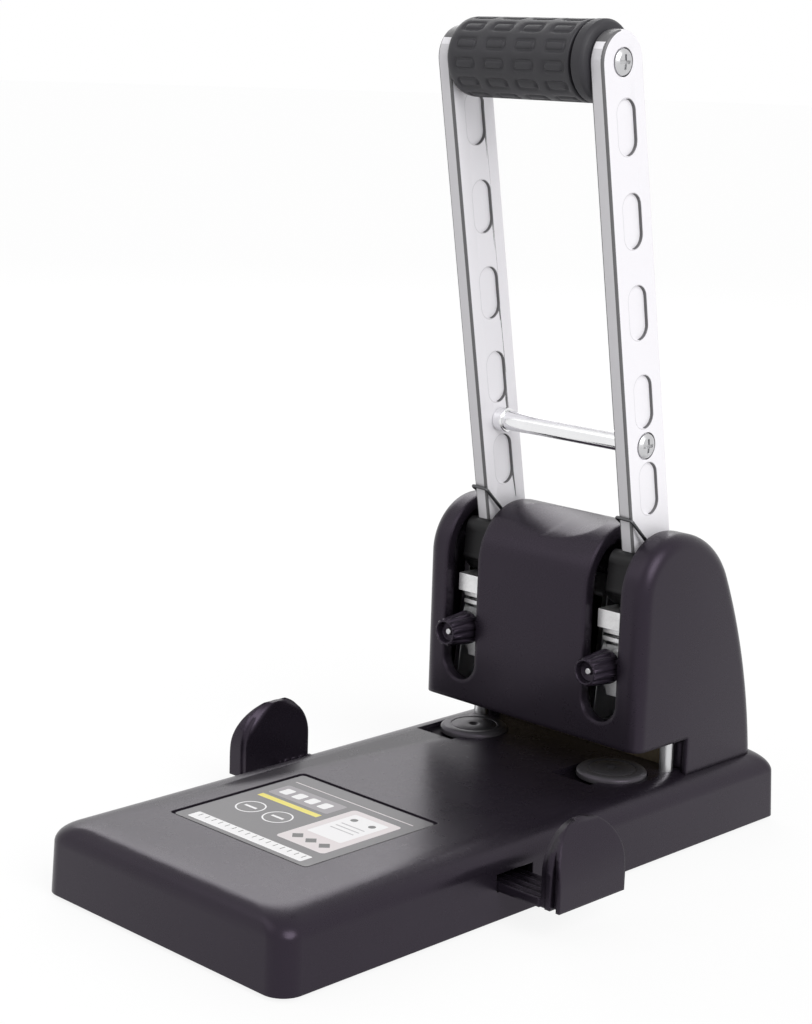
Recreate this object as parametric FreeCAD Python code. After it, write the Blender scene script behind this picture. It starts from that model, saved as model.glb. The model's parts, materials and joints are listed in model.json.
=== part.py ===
import FreeCAD, Part
import math
import os

from FreeCAD import Vector

# Heavy-duty two-hole punch with a long upright lever.  Millimetres.
# X to the right, Y to the back, Z up.  The origin is on the floor, under the middle of the base.

# ------------------------------------------------------------------ holes and paper
PUNCH_PITCH = 80.0            # between the two holes
HOLE_DIAMETER = 6.0
HOLE_MARGIN = 12.0            # hole centre to the edge of the sheet
THROAT_HEIGHT = 13.9          # room for the stack over the cutting discs
PUNCH_TRAVEL = 14.0
LEVER_SWING = 60.0            # degrees, for the whole travel

# ------------------------------------------------------------------ base
BASE_LENGTH = 295.2           # at the rim
BASE_WIDTH = 140.4            # at the rim
BASE_HEIGHT = 29.3            # rim to deck
FOOT_STAND = 1.8              # the feet stand proud of the rim
BASE_WALL = 2.5
BASE_DRAFT = 0.8              # the walls lean in by this much, up to the shoulder
SHOULDER_DROP = 9.1           # height of the rolled shoulder
SIDE_SHOULDER_WIDTH = 15.0
END_SHOULDER_WIDTH = 8.0
SHOULDER_SECTIONS = 7
FRONT_CORNER_RADIUS = 9.5
BACK_CORNER_RADIUS = 4.5
DECK_CORNER_RADIUS = 9.0
BOTTOM_PLATE = 2.0
BOTTOM_SCREW_INSET = 12.0
BOTTOM_SCREW_POST = 8.0
BOTTOM_SCREW_DIAMETER = 2.6
BOTTOM_SCREW_LENGTH = 10.0
FOOT_DIAMETER = 18.0
FOOT_INSET = 17.0
STIFFENER_THICKNESS = 3.0
STIFFENER_REACH = 2.0         # past the shoulder's upper edge
LABEL_WIDTH = 77.0
LABEL_LENGTH = 70.0
LABEL_THICKNESS = 0.5
LABEL_MARGIN = 1.2            # bare floor of the recess round the label
LABEL_DEPTH = 0.9
LABEL_ASIDE = -4.0            # label's middle, to the right of the base's middle
LABEL_FROM_FRONT = 78.6       # label's middle to the base's front

# ------------------------------------------------------------------ cutting discs
DISC_DIAMETER = 30.0
DISC_PROUD = 2.0              # above the deck
DISC_FROM_BACK = 79.6         # disc centre to the base's back edge
DISC_OFFSET = 4.8             # the punch is this far behind the disc's centre
DISC_HUB_DIAMETER = 9.0
DISC_SEAT = 1.5               # depth of the round seat in the deck
NOTCH_DEPTH = 2.5             # finger notch beside the disc
NOTCH_LEFT = 16.5
NOTCH_RIGHT = 5.0
NOTCH_FRONT = 20.0

# ------------------------------------------------------------------ side guides
GUIDE_OUTER_FACE = 101.0      # paddle face to the middle of the base, at rest
PADDLE_THICKNESS = 10.1       # at the bottom
PADDLE_WIDTH = 38.5
PADDLE_TOP = 46.6
PADDLE_STRAIGHT = 8.0         # height at which the outer wall starts to curl in
PADDLE_CURL = 42.0            # radius of the curl
PADDLE_WALL = 1.8             # outer wall
PADDLE_LAYER = 2.7            # each of the two upright layers at the inner side
PADDLE_STEP = 0.8             # the inner layer is smaller by this much
PADDLE_GAP_DEPTH = 3.0        # gap between the layers and the outer wall
BAR_WIDTH = 17.75
BAR_THICKNESS = 3.6
BAR_UNDERSIDE = 13.8
BAR_GROOVES = 4
BAR_GROOVE_WIDTH = 2.2
BAR_GROOVE_DEPTH = 0.9
BAR_SLOT_ROOM = 3.0           # over the bar, in the base's side wall
BAR_REACH = 43.5              # inner end past the middle, at rest
GUIDE_MIDDLE = -10.5          # pinion axis, in Y
GUIDE_WALL_GAP = 0.7          # paddle to side wall, pushed right in
GUIDE_OUTWARD = 36.0
GEAR_MODULE = 1.0
PINION_TEETH = 12
GEAR_BACKLASH = 0.25
PINION_POST = 5.0

# ------------------------------------------------------------------ head
COVER_CHEEK = 21.5            # punch axis to the outside of the cover
COVER_WALL = 2.5
COVER_TO_DISC = 11.6          # front face ahead of the disc's centre
COVER_FRONT_RADIUS = 25.0
COVER_BACK_RADIUS = 38.5
COVER_CROWN = 136.0           # height of the crown over the floor
COVER_CROWN_TURN = 64.0       # degrees of the back rounding
COVER_FOOT_FRONT = 23.5       # side foot, behind the disc's centre
COVER_FOOT_BACK = 7.4         # side foot, ahead of the base's back edge
COVER_SCREW_LANE = 5.5        # cover screws and stop posts, inside the cover's wall
COVER_BOSS = 8.0
COVER_BOSS_HEIGHT = 12.0
COVER_EDGE_RADIUS = 6.0
SLOT_WIDTH = 18.6
SLOT_BOTTOM = 56.0
SLOT_RIM_WALL = 1.8
SLOT_RIM_DEPTH = 9.0
SCOOP_RADIUS = 180.0
SCOOP_FRONT_HEIGHT = 126.5
SCOOP_SLOPE = 16.0            # degrees, rising to the back
PLATE_THICKNESS = 3.0         # stripper plate
BRACKET_THICKNESS = 3.0
BRACKET_INNER = 27.0          # between a bracket's cheeks
BRACKET_REACH = 28.0          # axle to the back of a bracket
POST_DIAMETER = 6.0           # paper stop posts
POST_SPIGOT = 4.0
PEDESTAL_SIDE_GAP = 4.5       # pedestal to the line of posts and cover screws
PEDESTAL_FRONT_GAP = 7.7      # pedestal behind the paper's edge
PEDESTAL_BACK_GAP = 9.0       # pedestal ahead of the cover's back
BOLT_DIAMETER = 6.0
BOLT_SPREAD = 15.0            # frame bolts to the middle
BOLT_EDGE = 8.0               # frame bolts to the pedestal's edge
SCREW_DIAMETER = 4.0

# ------------------------------------------------------------------ punches
SHANK_DIAMETER = 8.0
PUNCH_BORE = 4.4
PUNCH_LIFT = 0.5              # tip above the stripper plate's underside, at rest
CARRIER_WIDTH = 12.0
CARRIER_HEAD_WIDTH = 14.0
CARRIER_HEAD_HEIGHT = 8.0
CARRIER_HEAD_FRONT = 10.8     # ahead of the punch axis
CARRIER_RIB_FRONT = 7.8
CARRIER_NECK_FRONT = 3.4
CARRIER_FRONT = 5.4
CARRIER_BACK = 4.2            # behind the punch axis
CARRIER_TAPER = 1.4           # each side, at the foot
CARRIER_TAPER_HEIGHT = 5.0
CARRIER_HUB_GAP = 0.5         # hollow of the head to the lever's hub
LUG_RISE = 5.0                # rod lug over the carrier's foot
CARRIER_BOTTOM_GAP = 0.5      # over the stripper plate when pressed
CARRIER_NECK_HEIGHT = 8.0
NECK_RIB_WIDTH = 12.4
NECK_RIB_THICKNESS = 2.0
GUIDE_ROD_DIAMETER = 5.0
GUIDE_ROD_BACK = 13.2         # behind the punch axis
SPRING_DIAMETER = 9.0
SPRING_WIRE = 1.2
SPRING_TURNS = 7
KNOB_HEIGHT = 79.2
KNOB_INSET = 5.0              # knob's back, behind the cover's front face
KNOB_FRONT_RADIUS = 6.0
KNOB_BACK_RADIUS = 7.4
KNOB_LENGTH = 15.0
KNOB_CUP_RADIUS = 4.7
KNOB_CUP_DEPTH = 3.6
KNOB_FLUTES = 12
KNOB_FLUTE_RADIUS = 1.1
STUD_DIAMETER = 3.0

# ------------------------------------------------------------------ lever
AXLE_DIAMETER = 10.0
AXLE_HEIGHT = 105.5
AXLE_END = 1.9                # past the outer cheek
RING_THICKNESS = 0.9
RING_SEAT = 0.7               # ring's middle past the outer cheek
CAM_GAP = 0.3                 # cam to carrier, at rest
CAM_BASE_HEIGHT = 2.4         # cam contact below the axle, at rest
CAM_WIDTH = 13.0
CAM_TOP = 127.5
ARM_OFFSET = 0.75             # arm outboard of the punch
ARM_THICKNESS = 6.8
ARM_WIDTH = 25.1
ARM_REACH = 224.9             # axle to grip
ARM_LEAN = 10.1               # degrees forward, at rest
ARM_EDGE_RADIUS = 1.2
POCKET_COUNT = 5
POCKET_PITCH = 37.6
POCKET_FIRST = 49.0           # from the axle
POCKET_LENGTH = 22.5
POCKET_WIDTH = 11.0
POCKET_DEPTH = 1.2
CROSSBAR_REACH = 67.6
CROSSBAR_DIAMETER = 8.6
COLLAR_DIAMETER = 10.6
COLLAR_LENGTH = 5.0
GRIP_DIAMETER = 33.0
GRIP_CAP_WIDTH = 7.6
GRIP_ROD_DIAMETER = 8.0
CAP_GROOVE = 1.2
ARM_SCREW_HEAD = 10.4
PIN_DIAMETER = 4.0
TORSION_RADIUS = 8.0          # coil centre line
TORSION_WIRE = 1.5
TORSION_TURNS = 2
TORSION_PITCH = 1.6
TORSION_BEND = 1.5            # bends of the hook
TORSION_TAIL = 8.0
TORSION_SIDE_GAP = 1.0        # fork to coil
HOOK_REACH = 39.0             # hook to axle, along the arm

# ------------------------------------------------------------------ fits
RUNNING_FIT = 0.05            # radial, axle and pins that turn or slide
MOVING_GAP = 0.4              # between parts that pass each other
SEAT_GAP = 0.15               # around parts that drop into a recess
OVERCUT = 20.0                # how far a cutting tool runs past what it cuts

# ------------------------------------------------------------------ places worked out from them
base_front = -BASE_LENGTH / 2
base_back = BASE_LENGTH / 2
half_base = BASE_WIDTH / 2
rim_z = FOOT_STAND
deck_z = FOOT_STAND + BASE_HEIGHT
deck_half = half_base - BASE_DRAFT - SIDE_SHOULDER_WIDTH
label_middle = (LABEL_ASIDE, base_front + LABEL_FROM_FRONT)
guide_inward = GUIDE_OUTER_FACE - PADDLE_THICKNESS - half_base - GUIDE_WALL_GAP
disc_top = deck_z + DISC_PROUD
disc_y = base_back - DISC_FROM_BACK
disc_x = PUNCH_PITCH / 2
punch_y = disc_y + DISC_OFFSET
paper_stop_y = punch_y + HOLE_MARGIN

plate_bottom = disc_top + THROAT_HEIGHT
plate_top = plate_bottom + PLATE_THICKNESS
tip_rest = plate_bottom + PUNCH_LIFT
carrier_bottom = plate_top + CARRIER_BOTTOM_GAP + PUNCH_TRAVEL
carrier_top = AXLE_HEIGHT - CAM_BASE_HEIGHT - CAM_GAP
head_bottom = carrier_top - CARRIER_HEAD_HEIGHT
neck_bottom = head_bottom - CARRIER_NECK_HEIGHT
rod_y = punch_y + GUIDE_ROD_BACK

cam_rate = PUNCH_TRAVEL / math.radians(LEVER_SWING)
axle_y = punch_y + cam_rate
arm_x = disc_x + ARM_OFFSET
arm_half = ARM_THICKNESS / 2
hub_radius = ARM_WIDTH / 2
arm_inner_face = arm_x - arm_half

half_cover = disc_x + COVER_CHEEK
cover_front = disc_y - COVER_TO_DISC
cover_underside = plate_bottom - 0.5
foot_front = disc_y + COVER_FOOT_FRONT
foot_back = base_back - COVER_FOOT_BACK
slot_back = axle_y + hub_radius

under_deck = deck_z - NOTCH_DEPTH - BASE_WALL
bracket_x = disc_x
bracket_back = axle_y + BRACKET_REACH
lane_x = half_cover - COVER_WALL - COVER_SCREW_LANE
pedestal_half = lane_x - PEDESTAL_SIDE_GAP
pedestal_front = paper_stop_y + PEDESTAL_FRONT_GAP
pedestal_back = foot_back - PEDESTAL_BACK_GAP
lug_bottom = carrier_bottom + LUG_RISE
knob_back = cover_front + KNOB_INSET
knob_front = knob_back - KNOB_LENGTH
post_y = paper_stop_y + POST_DIAMETER / 2

X_AXIS = Vector(1, 0, 0)
Y_AXIS = Vector(0, 1, 0)
Z_AXIS = Vector(0, 0, 1)
ORIGIN = Vector(0, 0, 0)


# ------------------------------------------------------------------ small tools
def block(x0, x1, y0, y1, z0, z1):
    """Box between two corners."""
    return Part.makeBox(x1 - x0, y1 - y0, z1 - z0, Vector(x0, y0, z0))


def rod_z(x, y, z0, z1, diameter):
    return Part.makeCylinder(diameter / 2, z1 - z0, Vector(x, y, z0), Z_AXIS)


def rod_y_dir(x, z, y0, y1, diameter):
    return Part.makeCylinder(diameter / 2, y1 - y0, Vector(x, y0, z), Y_AXIS)


def rod_x(y, z, x0, x1, diameter):
    return Part.makeCylinder(diameter / 2, x1 - x0, Vector(x0, y, z), X_AXIS)


def line(a, b):
    return Part.LineSegment(a, b).toShape()


def arc(a, through, b):
    return Part.Arc(a, through, b).toShape()


def solid_from(edges, direction):
    """Closed outline, pushed along a direction."""
    wire = Part.Wire(Part.__sortEdges__(edges))
    return Part.Face(wire).extrude(direction)


def polygon(points, direction):
    """Straight-sided outline, pushed along a direction."""
    return Part.Face(Part.makePolygon(points + [points[0]])).extrude(direction)


def turned(points, centre, axis):
    """Outline of (radius, height) pairs turned about an axis through the centre."""
    side = X_AXIS if abs(axis.x) < 0.5 else Y_AXIS
    ring = [centre + side * r + axis * h for r, h in points]
    face = Part.Face(Part.makePolygon(ring + [ring[0]]))
    return face.revolve(centre, axis, 360)


def joined(shapes):
    """One solid from overlapping or touching ones."""
    result = shapes[0].fuse(shapes[1:]) if len(shapes) > 1 else shapes[0]
    return result.removeSplitter()


def mirrored(shape):
    """The same part on the other side of the middle."""
    return shape.mirror(ORIGIN, X_AXIS)


def rounded_plan(half_x, y0, y1, front_radius, back_radius, z):
    """Plan outline with rounded corners, as a face."""
    def corner(cx, cy, radius, start):
        points = []
        for turn in (0, 45, 90):
            angle = math.radians(start + turn)
            points.append(Vector(cx + radius * math.cos(angle), cy + radius * math.sin(angle), z))
        return points

    corners = [
        corner(half_x - back_radius, y1 - back_radius, back_radius, 0),
        corner(-half_x + back_radius, y1 - back_radius, back_radius, 90),
        corner(-half_x + front_radius, y0 + front_radius, front_radius, 180),
        corner(half_x - front_radius, y0 + front_radius, front_radius, 270),
    ]
    edges = []
    for index, points in enumerate(corners):
        edges.append(arc(*points))
        edges.append(line(points[2], corners[(index + 1) % 4][0]))
    return Part.Face(Part.Wire(edges))


def oblong(middle, along, across, length, width, depth):
    """Round-ended slug: its long way is along, and it is sunk by depth along the third way."""
    half = length / 2 - width / 2
    radius = width / 2
    ends = [middle + along * half, middle - along * half]
    corners = [
        ends[0] + across * radius,
        ends[0] + along * radius,
        ends[0] - across * radius,
        ends[1] - across * radius,
        ends[1] - along * radius,
        ends[1] + across * radius,
    ]
    edges = [
        arc(corners[0], corners[1], corners[2]),
        line(corners[2], corners[3]),
        arc(corners[3], corners[4], corners[5]),
        line(corners[5], corners[0]),
    ]
    return Part.Face(Part.Wire(edges)).extrude(depth)


def softened(shape, radius, wanted):
    """Rounds the edges that the test picks."""
    edges = [edge for edge in shape.Edges if wanted(edge)]
    return shape.makeFillet(radius, edges)


# ------------------------------------------------------------------ base
def base_form(inset):
    """Outside of the base, or the same form a wall's thickness further in.

    The walls lean in a little, and a quarter of an ellipse rolls over from them to the deck.
    """
    def outline(draft, roll, z):
        side = draft + SIDE_SHOULDER_WIDTH * roll
        end = draft + END_SHOULDER_WIDTH * roll
        front_radius = FRONT_CORNER_RADIUS + (DECK_CORNER_RADIUS - FRONT_CORNER_RADIUS) * roll
        back_radius = BACK_CORNER_RADIUS + (DECK_CORNER_RADIUS - BACK_CORNER_RADIUS) * roll
        plan = rounded_plan(
            half_base - inset - side,
            base_front + inset + end,
            base_back - inset - end,
            front_radius - inset,
            back_radius - inset,
            z,
        )
        return plan.OuterWire

    low = deck_z - SHOULDER_DROP - inset
    sections = []
    for index in range(SHOULDER_SECTIONS):
        turn = math.radians(90) * index / (SHOULDER_SECTIONS - 1)
        rise = SHOULDER_DROP * math.sin(turn)
        sections.append(outline(BASE_DRAFT, 1 - math.cos(turn), low + rise))
    walls = Part.makeLoft([outline(0.0, 0.0, rim_z), sections[0]], True, True)
    shoulder = Part.makeLoft(sections, True, False)
    return walls.fuse(shoulder)


def disc_seat(side):
    """Round seat and finger notch of one cutting disc."""
    x = side * disc_x
    seat = rod_z(x, disc_y, deck_z - DISC_SEAT, deck_z + OVERCUT, DISC_DIAMETER + 2 * MOVING_GAP)
    notch = block(
        x - NOTCH_LEFT,
        x + NOTCH_RIGHT,
        disc_y - NOTCH_FRONT,
        disc_y,
        deck_z - NOTCH_DEPTH,
        deck_z + OVERCUT,
    )
    hub_hole = rod_z(
        x, disc_y, under_deck - OVERCUT, deck_z, DISC_HUB_DIAMETER + 2 * RUNNING_FIT
    )
    return [seat, notch, hub_hole]


def guide_slot(side):
    """Slot in the side wall for a guide's bar, with room over it."""
    y0, y1 = bar_span(side)
    outer = half_base + OVERCUT
    inner = half_base - OVERCUT
    x0, x1 = (inner, outer) if side > 0 else (-outer, -inner)
    return block(
        x0,
        x1,
        y0 - MOVING_GAP,
        y1 + MOVING_GAP,
        BAR_UNDERSIDE - MOVING_GAP,
        BAR_UNDERSIDE + BAR_THICKNESS + BAR_SLOT_ROOM,
    )


def bar_span(side):
    """Front and back edge of a guide's bar, teeth included."""
    pitch_radius = GEAR_MODULE * PINION_TEETH / 2
    near = pitch_radius - GEAR_MODULE
    far = pitch_radius + 1.25 * GEAR_MODULE + BAR_WIDTH
    if side > 0:
        return GUIDE_MIDDLE - far, GUIDE_MIDDLE - near
    return GUIDE_MIDDLE + near, GUIDE_MIDDLE + far


def screw_posts():
    """Where the bottom cover is screwed to the shell."""
    x = half_base - BOTTOM_SCREW_INSET
    front = base_front + BOTTOM_SCREW_INSET
    back = base_back - BOTTOM_SCREW_INSET
    ends = [front, GUIDE_MIDDLE - 48.0, GUIDE_MIDDLE + 42.0, back]
    return [(side * x, y) for side in (-1, 1) for y in ends]


def frame_bolt_places():
    """Bolts that hold the pedestal down through the deck."""
    front = pedestal_front + BOLT_EDGE
    back = pedestal_back - BOLT_EDGE
    return [(side * BOLT_SPREAD, y) for side in (-1, 1) for y in (front, back)]


def cover_screw_places():
    """Screws that hold the head cover from below the deck."""
    return [(side * lane_x, y) for side in (-1, 1) for y in (foot_front + 6.0, foot_back - 14.0)]


def base_shell():
    """Moulded top of the base, open below."""
    outer = base_form(0.0)
    hollow = base_form(BASE_WALL)
    head_pad = block(
        -half_base, half_base, disc_y - 28.0, base_back, under_deck, deck_z
    )
    shell = outer.cut(hollow.cut(head_pad))
    posts = []
    for x, y in screw_posts():
        posts.append(rod_z(x, y, rim_z + BOTTOM_PLATE, deck_z, BOTTOM_SCREW_POST))
    shell = joined([shell] + [post.common(outer) for post in posts])
    cuts = []
    for x, y in screw_posts():
        hole_top = rim_z + BOTTOM_SCREW_LENGTH + 2.0
        cuts.append(rod_z(x, y, rim_z, hole_top, BOTTOM_SCREW_DIAMETER))
    for side in (-1, 1):
        cuts += disc_seat(side)
        cuts.append(guide_slot(side))
        cuts.append(
            rod_z(side * lane_x, post_y, under_deck - OVERCUT, deck_z + 1.0, POST_SPIGOT)
        )
    for x, y in frame_bolt_places():
        cuts.append(rod_z(x, y, under_deck - OVERCUT, deck_z + 1.0, BOLT_DIAMETER + 0.6))
    cuts.append(label_blank(LABEL_DEPTH + OVERCUT, LABEL_MARGIN))
    screw_holes = [
        rod_z(x, y, under_deck - OVERCUT, deck_z + 1.0, SCREW_DIAMETER + 0.4)
        for x, y in cover_screw_places()
    ]
    return shell.cut(cuts).cut(screw_holes)


def label_blank(thickness, clearance):
    """Plate of the label's outline, on the floor of its recess."""
    x, y = label_middle
    face = rounded_plan(
        LABEL_WIDTH / 2 + clearance,
        -LABEL_LENGTH / 2 - clearance,
        LABEL_LENGTH / 2 + clearance,
        2.0,
        2.0,
        0.0,
    )
    plate = face.extrude(Z_AXIS * thickness)
    plate.translate(Vector(x, y, deck_z - LABEL_DEPTH))
    return plate


def label_plate():
    return label_blank(LABEL_THICKNESS, 0.0)


def bottom_cover():
    """Plate that closes the base from below, with seats for the feet."""
    inset = BASE_WALL + SEAT_GAP
    plan = rounded_plan(
        half_base - inset,
        base_front + inset,
        base_back - inset,
        FRONT_CORNER_RADIUS - inset,
        BACK_CORNER_RADIUS - inset,
        rim_z,
    )
    plate = plan.extrude(Z_AXIS * BOTTOM_PLATE)
    cuts = [rod_z(x, y, 0.0, rim_z + BOTTOM_PLATE + 1.0, 3.6) for x, y in screw_posts()]
    for x, y in foot_places():
        cuts.append(rod_z(x, y, 0.0, rim_z + BOTTOM_PLATE / 2, FOOT_DIAMETER + 2 * SEAT_GAP))
    return plate.cut(cuts)


def bottom_screws():
    """Pan screws, one in each post."""
    screws = []
    for x, y in screw_posts():
        head = rod_z(x, y, rim_z - 1.2, rim_z, 2.2 * BOTTOM_SCREW_DIAMETER)
        shank = rod_z(x, y, rim_z, rim_z + BOTTOM_SCREW_LENGTH, BOTTOM_SCREW_DIAMETER)
        screws.append(joined([head, shank]))
    return Part.makeCompound(screws)


def foot_places():
    x = half_base - FOOT_INSET - FOOT_DIAMETER / 2
    y = base_back - FOOT_INSET - FOOT_DIAMETER / 2
    return [(sx * x, sy * y) for sx in (-1, 1) for sy in (-1, 1)]


def rubber_feet():
    feet = []
    for x, y in foot_places():
        radius = FOOT_DIAMETER / 2
        height = rim_z + BOTTOM_PLATE / 2
        outline = [(0, 0), (radius - 1.0, 0), (radius, 1.0), (radius, height), (0, height)]
        feet.append(turned(outline, Vector(x, y, 0), Z_AXIS))
    return Part.makeCompound(feet)


def stiffener_plate():
    """Steel plate under the deck that takes the load of the discs and the head."""
    half = deck_half + STIFFENER_REACH
    plate = block(
        -half, half, disc_y - 24.0, base_back - 10.0, under_deck - STIFFENER_THICKNESS, under_deck
    )
    plate = softened(plate, 6.0, lambda edge: edge.Length < STIFFENER_THICKNESS + 0.1)
    cuts = []
    for side in (-1, 1):
        cuts.append(
            rod_z(side * disc_x, disc_y, under_deck - 10.0, deck_z, DISC_HUB_DIAMETER + 2 * MOVING_GAP)
        )
        cuts.append(rod_z(side * lane_x, post_y, under_deck - 10.0, deck_z, POST_SPIGOT))
    for x, y in frame_bolt_places():
        cuts.append(rod_z(x, y, under_deck - 10.0, deck_z, BOLT_DIAMETER + 0.6))
    for x, y in cover_screw_places():
        cuts.append(rod_z(x, y, under_deck - 10.0, deck_z, SCREW_DIAMETER + 0.4))
    for x, y in screw_posts():
        if y > 0:
            cuts.append(rod_z(x, y, under_deck - 10.0, deck_z, 9.0))
    return plate.cut(cuts)


def cutting_disc(side):
    """Plastic pad with a hub, bevelled rim, worn ring and a dimple at its middle."""
    radius = DISC_DIAMETER / 2
    low = deck_z - DISC_SEAT + SEAT_GAP
    hub = DISC_HUB_DIAMETER / 2
    outline = [
        (0, under_deck - STIFFENER_THICKNESS),
        (hub, under_deck - STIFFENER_THICKNESS),
        (hub, low),
        (radius, low),
        (radius, disc_top - 1.2),
        (radius - 1.2, disc_top),
        (radius - 4.6, disc_top),
        (radius - 4.9, disc_top - 0.2),
        (radius - 5.2, disc_top),
        (1.4, disc_top),
        (0, disc_top - 0.9),
    ]
    return turned(outline, Vector(side * disc_x, disc_y, 0), Z_AXIS)


# ------------------------------------------------------------------ side guides
def rack_bar():
    """Bar of the right guide, with its teeth towards the pinion."""
    pitch_radius = GEAR_MODULE * PINION_TEETH / 2
    root_y = GUIDE_MIDDLE - pitch_radius - 1.25 * GEAR_MODULE
    x0 = -BAR_REACH
    x1 = GUIDE_OUTER_FACE - PADDLE_THICKNESS
    z0 = BAR_UNDERSIDE
    bar = block(x0, x1, root_y - BAR_WIDTH, root_y, z0, z0 + BAR_THICKNESS)
    pitch = math.pi * GEAR_MODULE
    half_tip = pitch / 4 - GEAR_MODULE * math.tan(math.radians(20)) - GEAR_BACKLASH / 4
    half_root = pitch / 4 + 1.25 * GEAR_MODULE * math.tan(math.radians(20)) - GEAR_BACKLASH / 4
    tip_y = GUIDE_MIDDLE - pitch_radius + GEAR_MODULE - 0.05
    teeth = []
    last = int((guide_inward + pitch * 2) / pitch)
    first = -int((BAR_REACH - half_root) / pitch)
    for index in range(first, last + 1):
        x = index * pitch
        teeth.append(
            polygon(
                [
                    Vector(x - half_root, root_y - 0.5, z0),
                    Vector(x + half_root, root_y - 0.5, z0),
                    Vector(x + half_root, root_y, z0),
                    Vector(x + half_tip, tip_y, z0),
                    Vector(x - half_tip, tip_y, z0),
                    Vector(x - half_root, root_y, z0),
                ],
                Z_AXIS * BAR_THICKNESS,
            )
        )
    grooves = []
    groove_z = z0 + BAR_THICKNESS - BAR_GROOVE_DEPTH
    for index in range(BAR_GROOVES):
        y0 = root_y - BAR_WIDTH * (index + 0.7) / BAR_GROOVES
        y1 = y0 + BAR_GROOVE_WIDTH
        grooves.append(block(half_base - GUIDE_OUTWARD, x1, y0, y1, groove_z, z0 + OVERCUT))
    return joined([bar] + teeth).cut(grooves)


def paddle():
    """Upright half-round grip at the outer end of the right guide.

    Two upright layers face the base.  The outer wall stands off them at the bottom and
    curls in to meet them at the top, and a gap is left between them along the front edge.
    """
    front = bar_span(1)[0]
    radius = PADDLE_WIDTH / 2
    middle = front + radius
    spring_line = PADDLE_TOP - radius
    bottom = BAR_UNDERSIDE
    inner = GUIDE_OUTER_FACE - PADDLE_THICKNESS
    step = inner + PADDLE_LAYER
    gap = step + PADDLE_LAYER

    def arch(x0, x1, inset):
        """Half-round slab between two upright planes."""
        r = radius - inset
        corners = [
            Vector(x0, middle - r, bottom),
            Vector(x0, middle + r, bottom),
            Vector(x0, middle + r, spring_line),
            Vector(x0, middle, spring_line + r),
            Vector(x0, middle - r, spring_line),
        ]
        edges = [
            line(corners[0], corners[1]),
            line(corners[1], corners[2]),
            arc(corners[2], corners[3], corners[4]),
            line(corners[4], corners[0]),
        ]
        return Part.Face(Part.Wire(edges)).extrude(X_AXIS * (x1 - x0))

    def within_wall(x0, inset):
        """All that lies between an upright plane and the curling outer wall."""
        face_x = GUIDE_OUTER_FACE - inset
        curl = PADDLE_CURL - inset
        bend = Vector(face_x - curl, front - OVERCUT, bottom + PADDLE_STRAIGHT)

        def on_curl(angle):
            turn = math.radians(angle)
            return bend + Vector(curl * math.cos(turn), 0, curl * math.sin(turn))

        low = bottom - 1.0
        top = on_curl(60)
        edges = [
            line(Vector(x0 - OVERCUT, bend.y, low), Vector(face_x, bend.y, low)),
            line(Vector(face_x, bend.y, low), on_curl(0)),
            arc(on_curl(0), on_curl(30), top),
            line(top, Vector(x0 - OVERCUT, bend.y, top.z)),
            line(Vector(x0 - OVERCUT, bend.y, top.z), Vector(x0 - OVERCUT, bend.y, low)),
        ]
        form = Part.Face(Part.Wire(edges)).extrude(Y_AXIS * (PADDLE_WIDTH + 2 * OVERCUT))
        clear = block(
            x0, GUIDE_OUTER_FACE + 1.0, bend.y, bend.y + PADDLE_WIDTH + 2 * OVERCUT, low, top.z
        )
        return form.common(clear)

    layers = arch(inner, step, PADDLE_STEP)
    wall = arch(step, GUIDE_OUTER_FACE, 0.0)
    body = joined([layers, wall]).common(within_wall(inner, 0.0))
    edge_band = arch(gap, GUIDE_OUTER_FACE, 0.0).cut(arch(gap, GUIDE_OUTER_FACE, PADDLE_GAP_DEPTH))
    front_half = block(
        gap, GUIDE_OUTER_FACE, front - 1.0, middle, bottom - 1.0, PADDLE_TOP + 1.0
    )
    gap_tool = edge_band.common(front_half).common(within_wall(gap, PADDLE_WALL))
    return body.cut(gap_tool)


def side_guide(side):
    """Paddle and toothed bar in one moulding.  The left one is the right one turned end for end."""
    guide = joined([rack_bar(), paddle()])
    if side < 0:
        guide.rotate(Vector(0, GUIDE_MIDDLE, 0), Z_AXIS, 180)
    return guide


def guide_pinion():
    """Twelve-tooth pinion that ties the two bars together."""
    pitch_radius = GEAR_MODULE * PINION_TEETH / 2
    base_radius = pitch_radius * math.cos(math.radians(20))
    tip_radius = pitch_radius + GEAR_MODULE
    root_radius = pitch_radius - 1.25 * GEAR_MODULE
    half_at_pitch = math.pi / (2 * PINION_TEETH) - GEAR_BACKLASH / 4 / pitch_radius
    slack = math.tan(math.radians(20)) - math.radians(20)
    z0 = BAR_UNDERSIDE + MOVING_GAP / 2
    height = BAR_THICKNESS - MOVING_GAP

    def flank(radius):
        pressure = math.acos(min(1.0, base_radius / radius))
        return half_at_pitch + slack - (math.tan(pressure) - pressure)

    def at(radius, angle):
        return Vector(radius * math.cos(angle), GUIDE_MIDDLE + radius * math.sin(angle), z0)

    gear = Part.makeCylinder(root_radius, height, Vector(0, GUIDE_MIDDLE, z0), Z_AXIS)
    teeth = []
    for index in range(PINION_TEETH):
        middle = 2 * math.pi * (index + 0.5) / PINION_TEETH + math.pi / 2
        steps = [base_radius + (tip_radius - base_radius) * k / 4 for k in range(5)]
        rising = [at(radius, middle - flank(radius)) for radius in steps]
        falling = [at(radius, middle + flank(radius)) for radius in reversed(steps)]
        foot = [at(root_radius - 0.6, middle + flank(base_radius))]
        foot.append(at(root_radius - 0.6, middle - flank(base_radius)))
        teeth.append(polygon(rising + falling + foot, Z_AXIS * height))
    gear = joined([gear] + teeth)
    bore = rod_z(0, GUIDE_MIDDLE, z0 - 1.0, z0 + height + 1.0, PINION_POST + 2 * RUNNING_FIT)
    return gear.cut(bore)


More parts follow.
